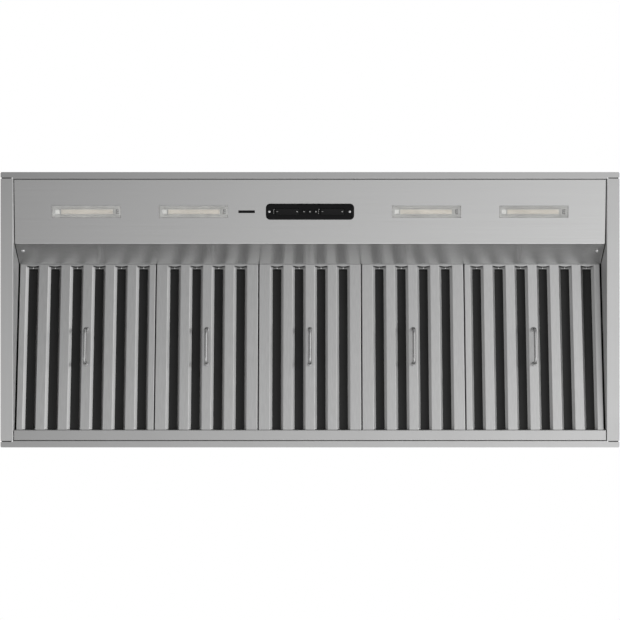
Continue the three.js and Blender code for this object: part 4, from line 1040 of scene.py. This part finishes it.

# ---------------------------------------------------------------- baffles
# Behind each slot an inverted channel of the same sheet turns the air back, and two flat
# strips carry the channels. They stand in the filter's own shade, and their steel is painted nearly black as
# painted shade.
BAFFLE_HALF = 13.2
BAFFLE_FOOT = 5.5
BAFFLE_TOP = 13.0
BAFFLE_STRIP = 14.0
BAFFLE_STRIP_LEVEL = 12.6
BAFFLE_STRIP_INSET = 1.1
baffle_shade_steel = steel("baffle_steel_painted_shade", ALONG_Y, 0.05, 0.46, 0.12, 0.7)


def filter_baffles(width, x):
    """An arch over each slot, half an ellipse across, carried along the filter, and the two strips."""
    half, start = BAFFLE_HALF - FILTER_SHEET, LEDGE_REACH + SEAM
    turn = np.linspace(np.pi, 0, 25)
    height = BAFFLE_TOP - FILTER_SHEET - BAFFLE_FOOT
    arch = np.column_stack([half * np.cos(turn), BAFFLE_FOOT + height * np.sin(turn)])[::-1]
    stations = np.linspace(start - filter_reach, FILTER_TAIL - start, 20)
    patches = [carried(arch + (slot, 0), stations, "y") for slot in slot_places(width)]
    inset, ends = BAFFLE_STRIP_INSET + BAFFLE_STRIP / 2, np.array([-1, 1])
    for middle in (inset - filter_reach, FILTER_TAIL - inset):
        across = ends[::-1, None] * (width / 2 - BAFFLE_STRIP_INSET)
        patches.append(grid(across, middle + ends * BAFFLE_STRIP / 2, BAFFLE_STRIP_LEVEL))
    return [on_filter(patch, x) for patch in patches]


for number, (x, width) in enumerate(zip(filter_places, filter_widths), 1):
    piece(f"filter_channels_{number}", filter_baffles(width, x), baffle_shade_steel, [f"filter_baffles_{number}"],
          f"filter_{number}", FILTER_SHEET)

# ---------------------------------------------------------------- handles
# Each filter has a bow handle of 6 mm polished stainless rod,
# bent to the face at both ends and seated in turned collars.
HANDLE_SPAN = 66.9
HANDLE_ROD = 3.0
HANDLE_STAND_OFF = 24.5
HANDLE_BEND = 11.0
COLLAR_RADIUS = 4.5
COLLAR_HEIGHT = 2.4
rod_steel = polished("polished_handle_rod", 0.5, 0.2)


def bow_handle():
    """The rod's middle line is straight, turns through a quarter of an ellipse at each end
    and runs to the face. Round each of its points goes a circle, square to the line."""
    turn = np.linspace(0, np.pi / 2, 13)
    level = HANDLE_ROD - HANDLE_STAND_OFF
    corner_y = HANDLE_SPAN / 2 - HANDLE_BEND * (1 - np.sin(turn))
    corner_z = level + HANDLE_BEND * (1 - np.cos(turn))
    y = np.concatenate([np.linspace(0, corner_y[0], 5)[:-1], corner_y, [HANDLE_SPAN / 2] * 2])
    z = np.concatenate([np.full(4, level), corner_z, [-3, -SEAM]])
    y, z = np.concatenate([-y[:0:-1], y]), np.concatenate([z[:0:-1], z])
    along = np.stack([np.gradient(y), np.gradient(z)])
    ahead_y, ahead_z = (along / np.hypot(*along))[..., None]
    angle = np.linspace(0, 2 * np.pi, 33)[None, :]
    out = HANDLE_ROD * np.sin(angle)
    rod = grid(HANDLE_ROD * np.cos(angle), y[:, None] - ahead_z * out, z[:, None] + ahead_y * out)
    ends = [np.repeat(rod[end].mean(0)[None, None], 33, 1) for end in (0, -1)]
    return np.concatenate([ends[0], rod, ends[1]])


collar_top = -SEAM - COLLAR_HEIGHT
collar = turned([(0, -SEAM), (COLLAR_RADIUS, -SEAM), (COLLAR_RADIUS, -1.9), (COLLAR_RADIUS - 0.25, -2.4),
                 (COLLAR_RADIUS - 0.7, collar_top), (0, collar_top)])
handle = [bow_handle(), *[collar + (0, end * HANDLE_SPAN / 2, 0) for end in (-1, 1)]]
for number, x in enumerate(filter_places, 1):
    skins = [on_filter(skin - (0, filter_reach / 2, 0), x) for skin in handle]
    solid_piece(f"filter_pull_{number}", skins, rod_steel, [f"filter_handle_{number}"], f"filter_{number}")

# ---------------------------------------------------------------- blower
# A painted motor in a galvanised cradle turns a steel shaft with a forward-curved wheel at each
# end. Each wheel runs in a scroll of galvanised sheet with a rolled inlet ring on both sides.
BLOWER_AXIS = (-54.0, 190.0)
WHEEL_MIDDLE = 110.0
WHEEL_HALF = 48.0
WHEEL_RADII = (62.0, 75.0)
WHEEL_RIM = 4.0
WHEEL_BLADES = 40
BLADE_SHEET = 0.8
BLADE_LEAN = 0.42
LEAN_POWER = 1.7
BLADE_START = 0.6
BLADE_LOSS = 1.5
SCROLL_HALF = 55.0
INLET_RADIUS = 61.5
INLET_TUBE = 1.8
SHAFT_RADIUS = 4.0
SHAFT_HALF = 170.0
WAIST_HALF = 16
WAIST_RISE = 1.2
wheel_inner, wheel_outer = WHEEL_RADII
rim_middle = WHEEL_HALF - WHEEL_RIM / 2


def on_shaft(points, x=0.0):
    """Turns points made about z so that they lie about the blower's shaft."""
    return grid(x + points[..., 2], BLOWER_AXIS[0] + points[..., 0], BLOWER_AXIS[1] + points[..., 1])


def wheel_blades(middle):
    """Each blade is an arc that leans forward between the wheel's two radii, carried between the rims."""
    part = np.linspace(0, 1, 7)[:, None]
    width = wheel_outer - wheel_inner
    radius = wheel_inner + BLADE_START + (width - BLADE_LOSS) * part
    lean = BLADE_LEAN * part**LEAN_POWER * width / wheel_outer
    along = np.array([-1, 1])[None, :] * rim_middle
    turns = np.arange(WHEEL_BLADES) * 2 * np.pi / WHEEL_BLADES + lean[..., None]
    blades = [grid(radius * np.cos(turn), radius * np.sin(turn), along) for turn in np.moveaxis(turns, -1, 0)]
    return [on_shaft(blade, middle) for blade in blades]


tube = np.linspace(0, 2 * np.pi, 13)
hoop = [(wheel_inner, -2), (wheel_outer - 0.4, -2), (wheel_outer, -1.6), (wheel_outer, 1.6),
        (wheel_outer - 0.4, 2), (wheel_inner, 2), (wheel_inner, -2)]
disc = [(4.3, -12), (11.6, -12), (12, -11.6), (12, -1), (16, -1), (22, -4), (54, -4), (60, -1), (73.5, -1),
        (73.5, 1), (60, 1), (54, -2), (22, -2), (16, 1), (12, 1), (12, 11.6), (11.6, 12), (4.3, 12),
        (4.3, -12)]
wheel = [*[turned(np.array(hoop) + (0, end * rim_middle), 72) for end in (-1, 1)], turned(disc, 72)]
for word, side in (("left", -1), ("right", 1)):
    middle = side * WHEEL_MIDDLE
    softened(f"{word}_scroll", f"scroll_{word}", 0.3)
    levels = [middle + end * SCROLL_HALF for end in (-1, 1)]
    rings = [np.column_stack([INLET_RADIUS + INLET_TUBE * np.cos(tube), level + INLET_TUBE * np.sin(tube)])
             for level in levels]
    solid_piece(f"{word}_inlet_rings", [on_shaft(turned(ring, 60)) for ring in rings], galvanised)
    solid_piece(f"{word}_blower_wheel", [on_shaft(skin, middle) for skin in wheel], galvanised,
                [f"{word}_wheel"], "blower_rotor")
    piece(f"{word}_wheel_blades", wheel_blades(middle), galvanised, (), "blower_rotor", BLADE_SHEET)

shaft = turned([(0, -SHAFT_HALF), (SHAFT_RADIUS - 0.5, -SHAFT_HALF), (SHAFT_RADIUS, 0.5 - SHAFT_HALF),
                (SHAFT_RADIUS, SHAFT_HALF - 0.5), (SHAFT_RADIUS - 0.5, SHAFT_HALF), (0, SHAFT_HALF)], 32)
solid_piece("blower_axle", [on_shaft(shaft)], bright_steel, ["blower_shaft"], "blower_rotor")

motor_paint = plain_plastic("dark_motor_paint", (0.045, 0.048, 0.052), 0.42, "motor_paint", 700.0, 0.35)
# Half of the motor's profile, from its bore to the middle
# of its waist. A band round the waist stands proud.
motor_end = [(4.3, 44), (20, 44), (22, 43), (22, 38.5), (24, 38), (38, 37), (43, 35), (46, 31), (46.5, 24),
             (48, 23.5), (48, 17), (46.5, 16.5), (46.5, 0)]
motor = [(radius, -level) for radius, level in motor_end] + motor_end[-2::-1] + [(4.3, -44)]
motor = [(radius + (WAIST_RISE if abs(level) < WAIST_HALF else 0), level) for radius, level in motor]
solid_piece("blower_motor_case", [on_shaft(turned(motor, 64))], motor_paint, ["blower_motor"], crease=25)
softened("blower_cradle", "motor_cradle")

# ---------------------------------------------------------------- outlet box and collar
# Over the lid a shallow galvanised box gathers both scrolls' air into a round collar, with a rolled bead for
# the duct. Two light flaps hang on a pin across the collar and fall shut on four small stops.
DUCT_Y = 30.0
COLLAR_LEVEL = 338.6
COLLAR_TOP = 380.0
COLLAR_BEAD = (1.8, 369, 3)
DUCT_RADIUS = 126.0
DUCT_FLANGE = 140.0
STOP_LEVEL = 349.9
PIN_LEVEL = 350.6
PIN_HALF = 128.0
softened("outlet_box", "duct_plenum")
rise, level, half = COLLAR_BEAD
bead = np.linspace(0, np.pi, 9)
bead_out = np.column_stack([DUCT_RADIUS + rise * np.sin(bead), level - half * np.cos(bead)])
collar_skin = turned(np.concatenate([
    [(DUCT_FLANGE, COLLAR_LEVEL), (DUCT_FLANGE, COLLAR_LEVEL + 1), (DUCT_RADIUS + 1.5, COLLAR_LEVEL + 1),
     (DUCT_RADIUS + 0.4, COLLAR_LEVEL + 1.5), (DUCT_RADIUS, COLLAR_LEVEL + 2.6)], bead_out,
    [(DUCT_RADIUS, COLLAR_TOP - 0.3), (DUCT_RADIUS - 0.5, COLLAR_TOP), (DUCT_RADIUS - 1, COLLAR_TOP - 0.3)],
    bead_out[::-1] - (1, 0), [(DUCT_RADIUS - 1, COLLAR_LEVEL), (DUCT_FLANGE, COLLAR_LEVEL)],
]), 96)
tab = stacked([(0, 0, 0, STOP_LEVEL - 1), (3.2, 3, 0.4, STOP_LEVEL - 1), (3.2, 3, 0.4, STOP_LEVEL),
               (0, 0, 0, STOP_LEVEL)], DUCT_RADIUS - 4)
skins = [collar_skin]
for turn in np.radians([45, 135, 225, 315]):
    cosine, sine = np.cos(turn), np.sin(turn)
    skins.append(grid(tab[..., 0] * cosine - tab[..., 1] * sine, tab[..., 0] * sine + tab[..., 1] * cosine,
                      tab[..., 2]))
solid_piece("outlet_collar", [skin + (0, DUCT_Y, 0) for skin in skins], galvanised, ["duct_collar"])
pin = turned([(0, -PIN_HALF), (2.6, -PIN_HALF), (3, 0.4 - PIN_HALF), (3, PIN_HALF - 0.4), (2.6, PIN_HALF),
              (0, PIN_HALF)], 32)
pin = grid(pin[..., 2], DUCT_Y + pin[..., 0], PIN_LEVEL + pin[..., 1])
solid_piece("damper_rod", [pin], bright_steel, ["damper_pin"])
for word in ("front", "rear"):
    softened(f"{word}_damper_flap", f"{word}_flap", 0.2, f"{word}_damper")

# ---------------------------------------------------------------- junction box
# The mains joins the hood in a galvanised box on the lid. Its cover is a
# channel that slips over the box, and a black bushing lines the cable's hole.
BOX_X = 405.0
BOX_END = 480.0
BUSHING_LEVEL = 330.3
softened("mains_box", "junction_box", 0.4)
softened("mains_box_cover", "junction_cover")
bushing = turned([(9.2, -3), (11, -3), (11, 0), (13.6, 0), (14, 0.5), (13.6, 2.2), (11.5, 2.8), (9.8, 2.4),
                  (9.2, 1.5), (9.2, -3)], 48)
bushing = grid(BOX_END + bushing[..., 2], bushing[..., 0], BUSHING_LEVEL + bushing[..., 1])
solid_piece("mains_bushing", [bushing], black_plastic)

# ---------------------------------------------------------------- lid screws
# Pan head screws hold the lid to the walls' hems, the
# outlet box and the collar to the lid, and the box's cover.
LID_LEVEL = 308.0
LID_SCREW_INSET = 4.0
LID_SCREW_X = np.linspace(-540, 540, 9)
LID_SCREW_Y = (-150, 0, 150)
OUTLET_FLANGE_LEVEL = LID_LEVEL + 1.3
OUTLET_EDGE_X = 181
OUTLET_EDGES_Y = (-121, 181)
OUTLET_SCREW_X = (-150, -50, 50, 150)
OUTLET_SCREW_Y = (-60, 30, 120)
COLLAR_SCREW_RADIUS = 133
BOX_COVER_LEVEL = 354.5
BOX_SCREW_X = (-60, 60)
BOX_SCREW_Y = (-40, 40)
lid_x, lid_y = wall_x - LID_SCREW_INSET, wall_y - LID_SCREW_INSET


def heads_up(name, places, radius):
    """Screw heads that face up, seated at (x, y, z)."""
    head = screw(radius, radius * 0.5, radius * 0.5, 5.0, 8, 28) * (1, 1, -1)
    solid_piece(name, [head + np.array(place) for place in places], bright_steel)


lid_places = [(x, side * lid_y) for x in LID_SCREW_X for side in (-1, 1)]
lid_places += [(side * lid_x, y) for y in LID_SCREW_Y for side in (-1, 1)]
heads_up("lid_screws", [(*place, LID_LEVEL) for place in lid_places], 3.4)
outlet_places = [(x, y) for x in OUTLET_SCREW_X for y in OUTLET_EDGES_Y]
outlet_places += [(side * OUTLET_EDGE_X, y) for y in OUTLET_SCREW_Y for side in (-1, 1)]
heads_up("outlet_box_screws", [(*place, OUTLET_FLANGE_LEVEL) for place in outlet_places], 3.0)
ring = COLLAR_SCREW_RADIUS * np.exp(1j * np.radians(np.arange(22.5, 360, 45)))
heads_up("collar_screws", [(spot.real, DUCT_Y + spot.imag, COLLAR_LEVEL + 1) for spot in ring], 2.8)
box_places = [(BOX_X + x, y, BOX_COVER_LEVEL) for x in BOX_SCREW_X for y in BOX_SCREW_Y]
heads_up("box_cover_screws", box_places, 2.6)
